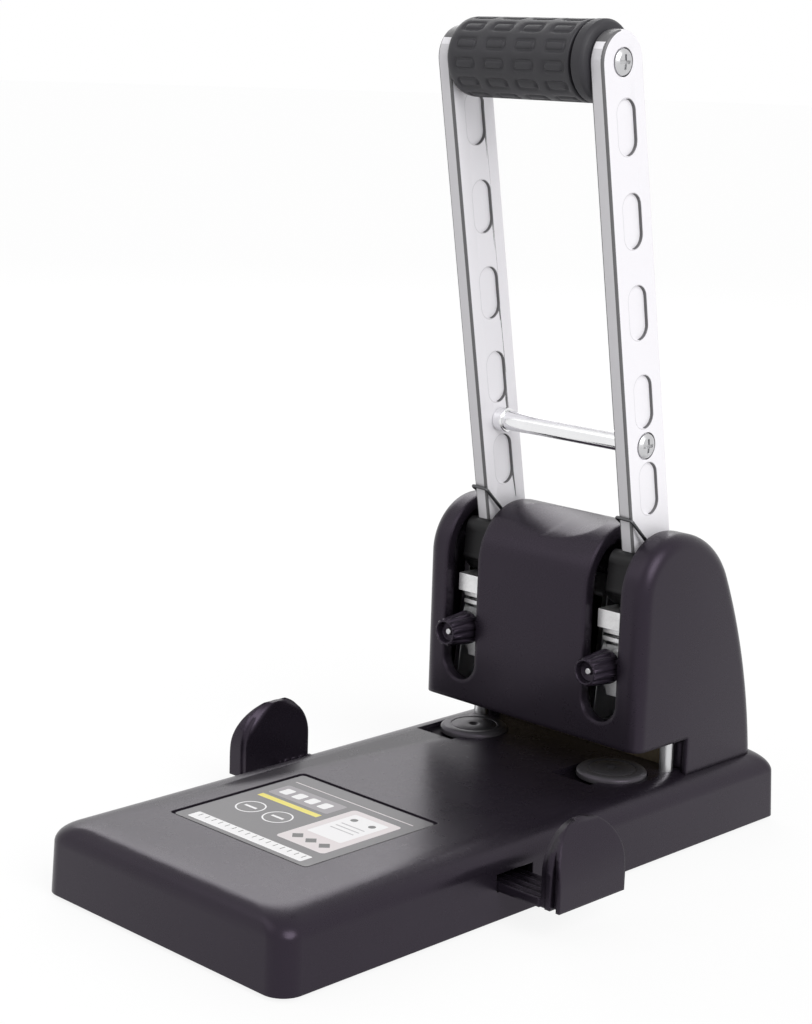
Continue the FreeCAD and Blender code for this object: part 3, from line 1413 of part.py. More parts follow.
def torsion_spring(side):
    """Spring at the right of an arm: a left-hand coil round the axle and a leg at each end.

    One leg runs up past the fork and hooks round the arm's front edge, the other
    points down behind the axle and bears on the bracket.
    """
    wire = TORSION_WIRE
    gap = wire / 2 + RUNNING_FIT
    lean_angle = math.radians(ARM_LEAN)
    across = Vector(0, math.cos(lean_angle), math.sin(lean_angle))

    def on_arm(x, reach, offset):
        y, z = arm_point(reach)
        return Vector(x, y, z) + across * offset

    face = side * arm_x + arm_half + gap
    far = side * arm_x - arm_half - gap
    front = -hub_radius - gap
    hook = on_arm(face, HOOK_REACH, front)
    to_hook = Vector(0, hook.y - axle_y, hook.z - AXLE_HEIGHT)
    bearing = math.atan2(to_hook.z, to_hook.y) - math.acos(TORSION_RADIUS / to_hook.Length)
    turns = TORSION_TURNS + bearing / (2 * math.pi)
    run = 2 * math.pi * TORSION_RADIUS
    coil_x = side * arm_x + CAM_WIDTH / 2 + TORSION_SIDE_GAP + wire / 2

    seat = FreeCAD.Placement(
        Vector(coil_x, axle_y, AXLE_HEIGHT), FreeCAD.Rotation(X_AXIS, math.degrees(bearing))
    )
    upright = FreeCAD.Placement(ORIGIN, FreeCAD.Rotation(Vector(1, 1, 1), 120))
    place = seat.multiply(upright)
    helix = Part.makeHelix(TORSION_PITCH, TORSION_PITCH * turns, TORSION_RADIUS, 0, True)
    helix.Placement = place
    coil_end = -2 * math.pi * turns
    start = place.multVec(Vector(TORSION_RADIUS, 0, 0))
    start_way = place.Rotation.multVec(Vector(0, -run, TORSION_PITCH)) * -1
    start_way.normalize()
    end = place.multVec(
        Vector(
            TORSION_RADIUS * math.cos(coil_end),
            TORSION_RADIUS * math.sin(coil_end),
            TORSION_PITCH * turns,
        )
    )
    end_way = place.Rotation.multVec(
        Vector(run * math.sin(coil_end), -run * math.cos(coil_end), TORSION_PITCH)
    )
    end_way.normalize()
    clear_of_fork = (CAM_TOP + wire - start.z) / start_way.z
    points = [
        start,
        start + start_way * clear_of_fork,
        hook,
        on_arm(far, HOOK_REACH + 0.4, front),
        on_arm(far, HOOK_REACH - 4.0, front + 4.5),
    ]
    tail_end = end + end_way * TORSION_TAIL
    path = bent_path(points, TORSION_BEND)[::-1] + helix.Edges + [line(end, tail_end)]
    section = Part.Wire(Part.makeCircle(wire / 2, tail_end, end_way))
    return Part.Wire(Part.__sortEdges__(path)).makePipeShell([section], True)


def grip_sleeve():
    """Rubber sleeve on the rod between the arms, rounded at its left end."""
    y, z = arm_point(ARM_REACH)
    x0 = -arm_inner_face + 0.4
    x1 = arm_inner_face - GRIP_CAP_WIDTH
    radius = GRIP_DIAMETER / 2
    outline = [
        (GRIP_ROD_DIAMETER / 2, x0),
        (radius - 3.0, x0),
        (radius - 1.0, x0 + 1.0),
        (radius, x0 + 3.2),
        (radius, x1),
        (GRIP_ROD_DIAMETER / 2, x1),
    ]
    return turned(outline, Vector(0, y, z), X_AXIS)


def grip_cap():
    """End flange of the grip, set off by a groove."""
    y, z = arm_point(ARM_REACH)
    x0 = arm_inner_face - GRIP_CAP_WIDTH
    x1 = arm_inner_face
    radius = GRIP_DIAMETER / 2
    outline = [
        (GRIP_ROD_DIAMETER / 2, x0),
        (radius - 1.6, x0),
        (radius - 1.6, x0 + CAP_GROOVE),
        (radius - 0.4, x0 + CAP_GROOVE),
        (radius, x0 + CAP_GROOVE + 0.5),
        (radius, x1 - 2.2),
        (radius - 1.2, x1 - 0.6),
        (radius - 3.0, x1),
        (GRIP_ROD_DIAMETER / 2, x1),
    ]
    return turned(outline, Vector(0, y, z), X_AXIS)


def grip_rod():
    """Steel rod between the arms, tapped at its ends for the arm screws."""
    y, z = arm_point(ARM_REACH)
    rod = rod_x(y, z, -arm_inner_face, arm_inner_face, GRIP_ROD_DIAMETER)
    holes = [
        rod_x(y, z, side * arm_inner_face - 14.0, side * arm_inner_face + 14.0, SCREW_DIAMETER)
        for side in (-1, 1)
    ]
    return rod.cut(holes)


def crossbar():
    """Plated tie bar that keeps the arms apart."""
    y, z = arm_point(CROSSBAR_REACH)
    bar = rod_x(y, z, -arm_inner_face, arm_inner_face, CROSSBAR_DIAMETER)
    holes = [
        rod_x(y, z, side * arm_inner_face - 12.0, side * arm_inner_face + 12.0, SCREW_DIAMETER)
        for side in (-1, 1)
    ]
    return bar.cut(holes)


def crossbar_collars():
    """Plated collars at the ends of the tie bar."""
    y, z = arm_point(CROSSBAR_REACH)
    collars = []
    for side in (-1, 1):
        outer = side * arm_inner_face
        inner = side * (arm_inner_face - COLLAR_LENGTH)
        x0, x1 = min(outer, inner), max(outer, inner)
        tube = rod_x(y, z, x0, x1, COLLAR_DIAMETER)
        tube = softened(tube, 0.6, lambda edge: True if edge.BoundBox.XLength < 0.01 else False)
        collars.append(tube.cut(rod_x(y, z, x0 - 1, x1 + 1, CROSSBAR_DIAMETER)))
    return Part.makeCompound(collars)


def arm_screws():
    """Cross-recessed pan screws in the ends of the grip rod and the tie bar."""
    screws = []
    radius = ARM_SCREW_HEAD / 2
    for reach in (CROSSBAR_REACH, ARM_REACH):
        y, z = arm_point(reach)
        seat = arm_x + arm_half - 1.0
        outline = [
            (0, seat),
            (radius, seat),
            (radius, seat + 1.2),
            (radius * 0.72, seat + 2.2),
            (0, seat + 2.5),
        ]
        head = turned(outline, Vector(0, y, z), X_AXIS)
        shank = rod_x(y, z, arm_inner_face - 10.0, seat, SCREW_DIAMETER)
        recess = [
            block(seat + 1.0, seat + 9, y - 3.0, y + 3.0, z - 0.6, z + 0.6),
            block(seat + 1.0, seat + 9, y - 0.6, y + 0.6, z - 3.0, z + 3.0),
        ]
        screw = joined([head, shank]).cut(recess)
        screws += [screw, mirrored(screw)]
    return Part.makeCompound(screws)


# ------------------------------------------------------------------ all nodes
def both_sides(name, shape):
    return {name + "_right": shape, name + "_left": mirrored(shape)}


def model():
    nodes = {
        "base_shell": base_shell(),
        "bottom_cover": bottom_cover(),
        "bottom_screws": bottom_screws(),
        "rubber_feet": rubber_feet(),
        "stiffener_plate": stiffener_plate(),
        "label_plate": label_plate(),
        "disc_left": cutting_disc(-1),
        "disc_right": cutting_disc(1),
        "guide_left": side_guide(-1),
        "guide_right": side_guide(1),
        "guide_pinion": guide_pinion(),
        "guide_tray": guide_tray(),
        "pedestal": pedestal(),
        "stop_posts": stop_posts(),
        "stripper_plate": stripper_plate(),
        "frame_bolts": frame_bolts(),
        "bracket_screws": bracket_screws(),
        "pivot_axle": pivot_axle(),
        "axle_rings": axle_rings(),
        "guide_rods": guide_rods(),
        "cover_screws": cover_screws(),
        "cam_pins": cam_pins(),
        "torsion_spring_left": torsion_spring(-1),
        "torsion_spring_right": torsion_spring(1),
        "grip_sleeve": grip_sleeve(),
        "grip_cap": grip_cap(),
        "grip_rod": grip_rod(),
        "crossbar": crossbar(),
        "crossbar_collars": crossbar_collars(),
        "arm_screws": arm_screws(),
    }
    nodes.update(head_cover_parts())
    nodes.update(both_sides("bracket", bracket()))
    nodes.update(both_sides("punch_carrier", punch_carrier()))
    nodes.update(both_sides("punch", hollow_punch()))
    nodes.update(both_sides("knob", knob()))
    nodes.update(both_sides("knob_stud", knob_stud()))
    nodes.update(both_sides("return_spring", return_spring()))
    nodes.update(both_sides("cam", cam_fork()))
    nodes.update(both_sides("arm", arm()))
    return nodes


def main():
    os.makedirs("parts", exist_ok=True)
    for name, shape in model().items():
        shape.exportStep("parts/" + name + ".step")
        solids = len(shape.Solids)
        print(name, solids, shape.isValid(), round(shape.Volume, 1))


main()
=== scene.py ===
import json
import math

import bmesh
import bpy
from mathutils import Matrix, Vector

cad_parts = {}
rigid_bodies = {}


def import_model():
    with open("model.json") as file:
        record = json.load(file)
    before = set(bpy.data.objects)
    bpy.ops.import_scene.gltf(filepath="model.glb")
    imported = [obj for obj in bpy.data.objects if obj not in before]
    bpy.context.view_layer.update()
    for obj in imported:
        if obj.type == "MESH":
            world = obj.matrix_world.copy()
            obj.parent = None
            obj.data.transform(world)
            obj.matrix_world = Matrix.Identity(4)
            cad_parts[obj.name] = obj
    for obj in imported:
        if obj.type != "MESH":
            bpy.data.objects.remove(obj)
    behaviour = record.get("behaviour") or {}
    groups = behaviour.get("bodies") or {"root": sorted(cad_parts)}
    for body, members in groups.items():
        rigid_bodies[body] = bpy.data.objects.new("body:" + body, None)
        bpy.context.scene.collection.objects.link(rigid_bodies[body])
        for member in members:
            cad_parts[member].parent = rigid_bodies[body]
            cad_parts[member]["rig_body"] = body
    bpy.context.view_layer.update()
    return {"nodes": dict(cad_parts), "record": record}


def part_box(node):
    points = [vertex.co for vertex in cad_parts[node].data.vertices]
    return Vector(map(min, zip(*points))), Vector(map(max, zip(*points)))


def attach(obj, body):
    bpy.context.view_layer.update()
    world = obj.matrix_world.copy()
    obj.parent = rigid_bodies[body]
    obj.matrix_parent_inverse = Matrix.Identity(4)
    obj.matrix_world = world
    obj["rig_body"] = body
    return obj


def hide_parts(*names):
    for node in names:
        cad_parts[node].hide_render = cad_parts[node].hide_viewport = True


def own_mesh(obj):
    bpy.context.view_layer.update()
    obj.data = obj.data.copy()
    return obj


bl_info = {
    "name": "Two-hole lever punch",
    "version": (1, 0, 0),
    "blender": (4, 5, 0),
    "location": "3D View > Sidebar > Punch",
    "description": "Dresses the packed lever punch with finished meshes, finishes and a studio",
    "category": "Add Mesh",
}

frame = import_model()
NODES = frame["nodes"]
SIDES = ("left", "right")
X_AXIS = Vector((1, 0, 0))
Y_AXIS = Vector((0, 1, 0))
Z_AXIS = Vector((0, 0, 1))
WHITE = (1.0, 1.0, 1.0, 1.0)
EDGE_SEGMENTS = 2             # of a broken edge

# The arms, in millimetres and degrees.
ARM_LEAN = 10.1               # forward, at rest
ARM_REACH = 224.9             # axle to grip
POCKET_COUNT = 5
POCKET_FIRST = 49.0           # axle to the first pocket's middle
POCKET_PITCH = 37.6
POCKET_LENGTH = 22.5
POCKET_WIDTH = 11.0
POCKET_SHADE_LINE = 0.5             # width of the painted shade line round a pocket


def mm(value):
    """Millimetres as metres."""
    return value * 0.001


# ---------------------------------------------------------------- forms
def block(low, high):
    """Box between two corners."""
    low, high = Vector(low), Vector(high)
    form = bmesh.new()
    bmesh.ops.create_cube(form, size=1.0)
    bmesh.ops.scale(form, vec=high - low, verts=form.verts)
    bmesh.ops.translate(form, vec=(low + high) / 2, verts=form.verts)
    return form


def turned(outline, centre, axis, steps):
    """Outline of (radius, height) pairs spun about an axis through the centre."""
    axis = Vector(axis)
    out = X_AXIS if abs(axis.x) < 0.5 else Y_AXIS
    form = bmesh.new()
    ring = [form.verts.new(Vector(centre) + out * r + axis * h) for r, h in outline]
    edges = [form.edges.new(pair) for pair in zip(ring, ring[1:])]
    bmesh.ops.spin(
        form,
        geom=ring + edges,
        cent=Vector(centre),
        axis=axis,
        angle=2 * math.pi,
        steps=steps,
        use_merge=True,
    )
    bmesh.ops.remove_doubles(form, verts=form.verts, dist=mm(0.001))
    bmesh.ops.recalc_face_normals(form, faces=form.faces)
    return form


def rounded_block(low, high, radius, segments=8):
    """Box between two corners, with its upright edges rounded."""
    form = block(low, high)
    upright = [e for e in form.edges if abs((e.verts[0].co - e.verts[1].co).z) > mm(0.01)]
    bmesh.ops.bevel(
        form,
        geom=upright,
        offset=radius,
        offset_type="OFFSET",
        segments=segments,
        profile=0.5,
        affect="EDGES",
        clamp_overlap=True,
        material=-1,
    )
    return form


def object_from(form, name):
    """Object that holds a form, and the form is used up."""
    mesh = bpy.data.meshes.new(name)
    form.to_mesh(mesh)
    form.free()
    thing = bpy.data.objects.new(name, mesh)
    bpy.context.scene.collection.objects.link(thing)
    return thing


def carved(form, tool, operation="DIFFERENCE"):
    """The form with a closed tool cut out of it, joined to it or kept to the inside of it."""
    body = object_from(form, "body")
    cutter = object_from(tool, "cutter")
    cut = body.modifiers.new("cut", "BOOLEAN")
    cut.operation = operation
    cut.solver = "EXACT"
    cut.object = cutter
    graph = bpy.context.evaluated_depsgraph_get()
    mesh = bpy.data.meshes.new_from_object(body.evaluated_get(graph))
    result = bmesh.new()
    result.from_mesh(mesh)
    for spare in (body, cutter):
        data = spare.data
        bpy.data.objects.remove(spare)
        bpy.data.meshes.remove(data)
    bpy.data.meshes.remove(mesh)
    return result


def node_form(node):
    """The node's own form with its faces sewn together and its flats made whole."""
    form = bmesh.new()
    form.from_mesh(NODES[node].data)
    bmesh.ops.remove_doubles(form, verts=form.verts, dist=mm(0.002))
    return whole_flats(form)


def whole_flats(form):
    """The form with each flat made one face."""
    bmesh.ops.dissolve_limit(
        form, angle_limit=math.radians(0.4), verts=form.verts, edges=form.edges
    )
    return form


def joined_form(nodes):
    """Nodes that meet at their ends, as one form with no seam."""
    form = node_form(nodes[0])
    for node in nodes[1:]:
        form = carved(form, node_form(node), "UNION")
    bmesh.ops.remove_doubles(form, verts=form.verts, dist=mm(0.002))
    return whole_flats(form)


def finish_piece(form, name, body, nodes, finish, smooth=32.0, edge=0.0):
    """Makes the piece's object, gives it its finish and lets it ride on its body."""
    piece = object_from(form, name)
    piece.data.shade_smooth()
    piece.data.set_sharp_from_angle(angle=math.radians(smooth))
    piece.data.materials.append(finish)
    if edge:
        broken = piece.modifiers.new("broken edges", "BEVEL")
        broken.width = edge
        broken.segments = EDGE_SEGMENTS
        broken.limit_method = "ANGLE"
        broken.angle_limit = math.radians(smooth)
        broken.use_clamp_overlap = False
        broken.harden_normals = True
        broken.miter_outer = "MITER_ARC"
    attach(piece, body)
    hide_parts(*nodes)
    return piece


class Strip:
    """A flat face that runs on sideways, seen from the side as a line."""

    def __init__(self, mesh, face):
        self.loops = face.loop_indices
        self.normal = face.normal.copy()
        self.out = Vector((face.normal.y, face.normal.z)).normalized()
        self.along = Vector((-self.out.y, self.out.x))
        ends = [self.along.dot(mesh.vertices[index].co.yz) for index in face.vertices]
        self.low, self.high = min(ends), max(ends)
        self.height = self.out.dot(mesh.vertices[face.vertices[0]].co.yz)

    def distance(self, place):
        """From the line to a place in the Y-Z plane."""
        step = self.along.dot(place)
        beside = max(self.low - step, step - self.high, 0.0)
        return math.hypot(beside, self.out.dot(place) - self.height)


def even_shading(piece, reach):
    """Shades the faces that run on sideways as one smooth curve, and leaves the others."""
    slant, smallest = 0.02, mm(2) ** 2
    same_side = 0.93          # cosine between strips that shade each other
    mesh = piece.data
    sideways = [face for face in mesh.polygons if abs(face.normal.x) < slant]
    strips = [Strip(mesh, face) for face in sideways if face.area > smallest]
    normals = [(0.0, 0.0, 0.0)] * len(mesh.loops)
    for strip in strips:
        near = [other for other in strips if other.normal.dot(strip.normal) > same_side]
        for loop in strip.loops:
            place = mesh.vertices[mesh.loops[loop].vertex_index].co.yz
            total = Vector((0.0, 0.0, 0.0))
            for other in near:
                total += other.normal * max(0.0, 1.0 - other.distance(place) / reach)
            if total.length > 0.0:
                normals[loop] = total.normalized()
    mesh.normals_split_custom_set(normals)


# ---------------------------------------------------------------- finishes
class Value:
    """A number in a finish, so that a pattern reads as arithmetic."""

    def __init__(self, finish, socket):
        self.finish = finish
        self.socket = socket

    def with_math(self, operation, *values):
        inputs = dict(enumerate(values))
        return self.finish.node("ShaderNodeMath", {"operation": operation}, inputs)

    def __add__(self, other):
        return self.with_math("ADD", self, other)

    def __radd__(self, other):
        return self.with_math("ADD", other, self)

    def __sub__(self, other):
        return self.with_math("SUBTRACT", self, other)

    def __rsub__(self, other):
        return self.with_math("SUBTRACT", other, self)

    def __mul__(self, other):
        return self.with_math("MULTIPLY", self, other)

    def __pow__(self, other):
        return self.with_math("POWER", self, other)

    def __gt__(self, other):
        return self.with_math("GREATER_THAN", self, other)

    def __lt__(self, other):
        return self.with_math("LESS_THAN", self, other)

    def __abs__(self):
        return self.with_math("ABSOLUTE", self)

    def modulo(self, period):
        return self.with_math("FLOORED_MODULO", self, period)

    def either(self, other):
        """The greater of the two."""
        return self.with_math("MAXIMUM", self, other)

    def within(self, low, high):
        """One between the two numbers, and nought outside."""
        return (self > low) * (self < high)


class Finish:
    """One procedural finish: a Principled surface and the nodes that feed it."""

    def __init__(self, name, **surface):
        self.material = bpy.data.materials.new(name)
        self.material.use_nodes = True
        self.tree = self.material.node_tree
        self.shader = self.tree.nodes["Principled BSDF"]
        for socket, value in surface.items():
            self.set(socket.replace("_", " ").title().replace("Ior", "IOR"), value)
        self.place = self.node("ShaderNodeTexCoord", output="Object")

    def node(self, kind, settings=None, inputs=None, output=0):
        """Any node: its settings first, then the values or links of its sockets."""
        made = self.tree.nodes.new(kind)
        for key, value in (settings or {}).items():
            if key == "stops":
                self.set_stops(made.color_ramp, value)
            else:
                setattr(made, key, value)
        for key, value in (inputs or {}).items():
            self.feed(made.inputs[key], value)
        return Value(self, made.outputs[output])

    def set_stops(self, ramp, stops):
        for index, (place, colour) in enumerate(stops):
            stop = ramp.elements[index] if index < 2 else ramp.elements.new(place)
            stop.position = place
            stop.color = (*colour, 1.0)

    def feed(self, socket, value):
        if isinstance(value, Value):
            self.tree.links.new(value.socket, socket)
        elif socket.type == "RGBA":
            socket.default_value = (*value, 1.0)
        else:
            socket.default_value = value

    def set(self, socket, value):
        self.feed(self.shader.inputs[socket], value)

    def axis(self, name, place=None):
        """One of the place's X, Y and Z, or another vector's."""
        return self.node("ShaderNodeSeparateXYZ", inputs={0: place or self.place}, output=name)

    def stretched(self, scale):
        """The place with its three ways scaled apart, for brushing and drawn wire."""
        return self.node(
            "ShaderNodeMapping", {"vector_type": "POINT"}, {"Vector": self.place, "Scale": scale}
        )

    def noise(self, size, detail=2.0, roughness=0.5, place=None):
        """Noise from 0 to 1 with features of about the given size."""
        inputs = {
            "Vector": place or self.place,
            "Scale": 1.0 / size,
            "Detail": detail,
            "Roughness": roughness,
        }
        return self.node("ShaderNodeTexNoise", {}, inputs, "Fac")

    def mixed(self, first, second, share):
        """Colour between two, by the share."""
        inputs = {0: share, 6: first, 7: second}
        return self.node("ShaderNodeMix", {"data_type": "RGBA"}, inputs, 2)

    def ramp(self, value, *stops):
        return self.node("ShaderNodeValToRGB", {"stops": stops}, {0: value})

    def emboss(self, height, depth, strength=1.0, corner=0.0):
        """Relief in the surface, as deep as given, with softened corners if asked."""
        inputs = {"Strength": strength, "Distance": depth, "Height": height}
        if corner:
            inputs["Normal"] = self.node("ShaderNodeBevel", {"samples": 4}, {"Radius": corner})
        self.set("Normal", self.node("ShaderNodeBump", {}, inputs))


def shade(colour, factor):
    return tuple(min(1.0, c * factor) for c in colour)


def moulded_plastic(name, colour, roughness, grain, corner=0.0):
    """Spark-eroded plastic: fine even grain, slight flow marks, faint rub marks."""
    finish = Finish(name, specular_ior_level=0.32, specular_tint=(0.91, 0.75, 1.0))
    flow = finish.noise(mm(26), 3.0)
    fine = finish.noise(mm(grain), 2.0, 0.6)
    rub = finish.noise(mm(5), 4.0, 0.7)
    marks = finish.ramp(rub, (0.58, (0, 0, 0)), (0.78, (1, 1, 1)))
    colour_flow = finish.mixed(shade(colour, 0.86), shade(colour, 1.16), flow)
    finish.set("Base Color", finish.mixed(colour_flow, shade(colour, 1.5), marks * 0.25))
    finish.set("Roughness", roughness - 0.05 + flow * 0.07 + fine * 0.05 - marks * 0.04)
    finish.emboss(fine, mm(0.03), 0.35, corner)
    return finish.material


def cast_metal(name, colour, roughness, metallic=0.95):
    """Die-cast metal: skin texture, cold flow and darker hollows."""
    finish = Finish(name)
    skin = finish.noise(mm(0.9), 4.0, 0.65)
    flow = finish.noise(mm(6), 2.0)
    tint = finish.mixed(shade(colour, 0.72), shade(colour, 1.08), flow)
    finish.set("Base Color", finish.mixed(tint, shade(colour, 0.5), skin ** 3.0))
    finish.set("Metallic", metallic - skin * 0.12)
    finish.set("Roughness", roughness + skin * 0.18)
    finish.emboss(skin, mm(0.06), 0.5)
    return finish.material


def brushed_metal(name, colour, roughness, way, depth=0.02):
    """Metal drawn or ground along one way."""
    finish = Finish(name)
    scale = [1.0 if index == "XYZ".index(way) else 40.0 for index in range(3)]
    lines = finish.noise(mm(9), 3.0, 0.6, finish.stretched(scale))
    cloud = finish.noise(mm(14), 3.0)
    finish.set("Base Color", finish.mixed(shade(colour, 0.86), shade(colour, 1.06), lines))
    finish.set("Metallic", 0.96 + cloud * 0.04)
    finish.set("Roughness", roughness - 0.06 + lines * 0.1 + cloud * 0.05)
    finish.emboss(lines, mm(depth), 0.3)
    return finish.material


def pocket_rim_shade_lines(along, across):
    """Mask of the painted shade line round each of an arm's pockets, by the places in the arm's
    face.
    """
    pitch, half_width = mm(POCKET_PITCH), mm(POCKET_WIDTH / 2)
    beside = abs((along + pitch / 2).modulo(pitch) - pitch / 2)
    over = (beside - mm(POCKET_LENGTH - POCKET_WIDTH) / 2).either(0.0)
    reach = (over * over + across * across) ** 0.5
    line = reach.within(half_width, half_width + mm(POCKET_SHADE_LINE))
    return line * along.within(-pitch / 2, pitch * (POCKET_COUNT - 0.5))


def arm_lacquer(name, colour, roughness, lean, axle, width):
    """Silver lacquer over metal, with painted shade: near black where the front edges turn and on
    the pockets' walls, darker on the narrow edges, and a grey line round each pocket.

    The arm's own directions come from its lean about the axle, a place in the Y-Z plane.
    """
    finish = Finish(name, coat_roughness=0.3)
    flake = finish.noise(mm(0.22), 2.0, 0.7)
    peel = finish.noise(mm(1.6), 2.0)
    cloud = finish.noise(mm(30), 2.0)
    y, z = finish.axis("Y") - axle[0], finish.axis("Z") - axle[1]
    across = y * math.cos(lean) + z * math.sin(lean)
    along = z * math.cos(lean) - y * math.sin(lean) - mm(POCKET_FIRST)
    from_middle = abs(across)

    normal = finish.node("ShaderNodeTexCoord", output="Normal")
    sideways, forward = abs(finish.axis("X", normal)), finish.axis("Y", normal)
    # Painted shade masks: where the front edges turn, and on the pockets' walls.
    turning_edge_shade = (forward < -0.15) * sideways.within(0.15, 0.985)
    wall = (from_middle < width / 2 - mm(4)) * (sideways < 0.9) * (forward < -0.1)
    # Painted shade mask: the narrow front and back edges of the arm.
    narrow_edge_shade = (from_middle > width / 2 - mm(2)) * (sideways < 0.15)
    # Painted shade mask: a grey line round each pocket's rim.
    line = pocket_rim_shade_lines(along, across) * (sideways > 0.9)

    silver = finish.mixed(shade(colour, 0.93), shade(colour, 1.05), flake)
    # Painted shade: the narrow edges darker than the faces.
    silver_with_edge_shade = finish.mixed(silver, shade(colour, 0.72), narrow_edge_shade)
    # Painted shade: grey line round the pockets' rims.
    silver_with_rim_shade = finish.mixed(silver_with_edge_shade, shade(colour, 0.6), line * 0.6)
    # Painted shade: near black on the turning front edges and the pockets' walls.
    edge_and_wall_shade = turning_edge_shade.either(wall) * 0.95
    finish.set("Base Color", finish.mixed(silver_with_rim_shade, shade(colour, 0.09), edge_and_wall_shade))
    finish.set("Metallic", 0.06 + flake * 0.12)
    finish.set("Roughness", roughness - 0.05 + cloud * 0.06 + flake * 0.06)
    finish.set("Coat Weight", 0.1 + cloud * 0.06)
    finish.emboss(peel, mm(0.03), 0.4)
    return finish.material


def plated_metal(name, colour, roughness):
    """Bright plating with handling haze."""
    finish = Finish(name, metallic=1.0)
    haze = finish.noise(mm(7), 4.0, 0.6)
    spots = finish.noise(mm(1.1), 2.0)
    finish.set("Base Color", finish.mixed(shade(colour, 0.9), shade(colour, 1.04), haze))
    finish.set("Roughness", roughness + haze * 0.09 + spots * 0.03)
    finish.emboss(spots, mm(0.01), 0.15)
    return finish.material


def blacked_metal(name, colour, roughness):
    """Oiled black oxide over ground steel."""
    finish = Finish(name, metallic=0.55)
    cloud = finish.noise(mm(8), 3.0)
    skin = finish.noise(mm(0.5), 3.0, 0.7)
    finish.set("Base Color", finish.mixed(shade(colour, 0.7), shade(colour, 1.3), cloud))
    finish.set("Roughness", roughness + skin * 0.12)
    finish.emboss(skin, mm(0.02), 0.4)
    return finish.material


def soft_rubber(name, colour, roughness):
    """Rubber: fine pores, dull, paler where it is handled."""
    finish = Finish(name, specular_ior_level=0.45)
    pores = finish.noise(mm(0.35), 3.0, 0.7)
    bloom = finish.noise(mm(9), 3.0)
    tint = finish.mixed(shade(colour, 0.8), shade(colour, 1.25), bloom)
    finish.set("Base Color", finish.mixed(tint, shade(colour, 0.6), pores * 0.4))
    finish.set("Roughness", roughness + pores * 0.12 - bloom * 0.05)
    finish.emboss(pores, mm(0.05), 0.5)
    return finish.material


class Print:
    """Flat artwork laid out in millimetres on the label, from its middle."""

    def __init__(self, finish, middle, ground):
        self.finish = finish
        self.x = (finish.axis("X") - middle[0]) * 1000.0
        self.y = (finish.axis("Y") - middle[1]) * 1000.0
        self.colour = ground

    def lay(self, mask, ink):
        self.colour = self.finish.mixed(self.colour, ink, mask)

    def panel(self, x0, x1, y0, y1, radius=0.0):
        """Mask of a rectangle, with round corners if asked."""
        if not radius:
            return self.x.within(x0, x1) * self.y.within(y0, y1)
        over_x = (abs(self.x - (x0 + x1) / 2) - ((x1 - x0) / 2 - radius)).either(0.0)
        over_y = (abs(self.y - (y0 + y1) / 2) - ((y1 - y0) / 2 - radius)).either(0.0)
        return (over_x * over_x + over_y * over_y) < radius * radius

    def disc(self, x, y, radius):
        dx, dy = self.x - x, self.y - y
        return (dx * dx + dy * dy) < radius * radius

    def diamond(self, x, y, radius):
        return (abs(self.x - x) + abs(self.y - y)) < radius

    def ticks(self, x0, x1, y0, y1, pitch, width):
        """Marks across a strip, evenly spaced."""
        return ((self.x - x0).modulo(pitch) < width) * self.panel(x0, x1, y0, y1)


def printed_label(name, middle):
    """Plain pictograms of a sheet, its holes and its edge, with a yellow band."""
    finish = Finish(name)
    cloud = finish.noise(mm(12), 3.0)
    ground = finish.mixed((0.070, 0.066, 0.072), (0.094, 0.088, 0.096), cloud)
    art = Print(finish, middle, ground)
    pale, white = (0.66, 0.60, 0.61), (0.82, 0.81, 0.82)
    ink, yellow = (0.035, 0.035, 0.035), (0.78, 0.66, 0.04)
    art.lay(art.panel(-34, 34, 26.5, 27.1), pale)
    art.lay(art.panel(6, 33, -21, 22, 2.0), pale)
    art.lay(art.panel(10, 29, -8, 18.5, 0.8), white)
    for x in (14.5, 24.5):
        art.lay(art.disc(x, 13.5, 1.6), ink)
    for y in (7.5, 4.5, 1.5):
        art.lay(art.panel(13, 26, y, y + 0.8), (0.42, 0.40, 0.42))
    for x in (12.0, 19.5, 27.0):
        art.lay(art.diamond(x, -14.5, 3.0), ink)
    art.lay(art.panel(-33, 2, 10, 22, 1.2), (0.24, 0.22, 0.24))
    for x in (-28.0, -20.5, -13.0, -5.5):
        art.lay(art.panel(x - 1.9, x + 3.1, 13, 19, 1.0), white)
    art.lay(art.panel(-33, 2, 4.4, 7.6), yellow)
    for x in (-24.0, -8.0):
        art.lay(art.disc(x, -7.0, 6.4), white)
        art.lay(art.disc(x, -7.0, 5.7), (0.10, 0.095, 0.10))
        art.lay(art.panel(x - 3.4, x + 3.4, -7.7, -6.3), white)
    art.lay(art.panel(-33, 33, -32.5, -26.0, 0.8), white)
    art.lay(art.ticks(-30, 31, -29.5, -26.8, 4.0, 0.5), ink)
    finish.set("Base Color", art.colour)
    finish.set("Roughness", 0.34 + cloud * 0.1)
    finish.set("Coat Weight", 0.15 + cloud * 0.1)
    finish.emboss(finish.noise(mm(1.2), 2.0), mm(0.02), 0.3)
    return finish.material


FINISHES = {}


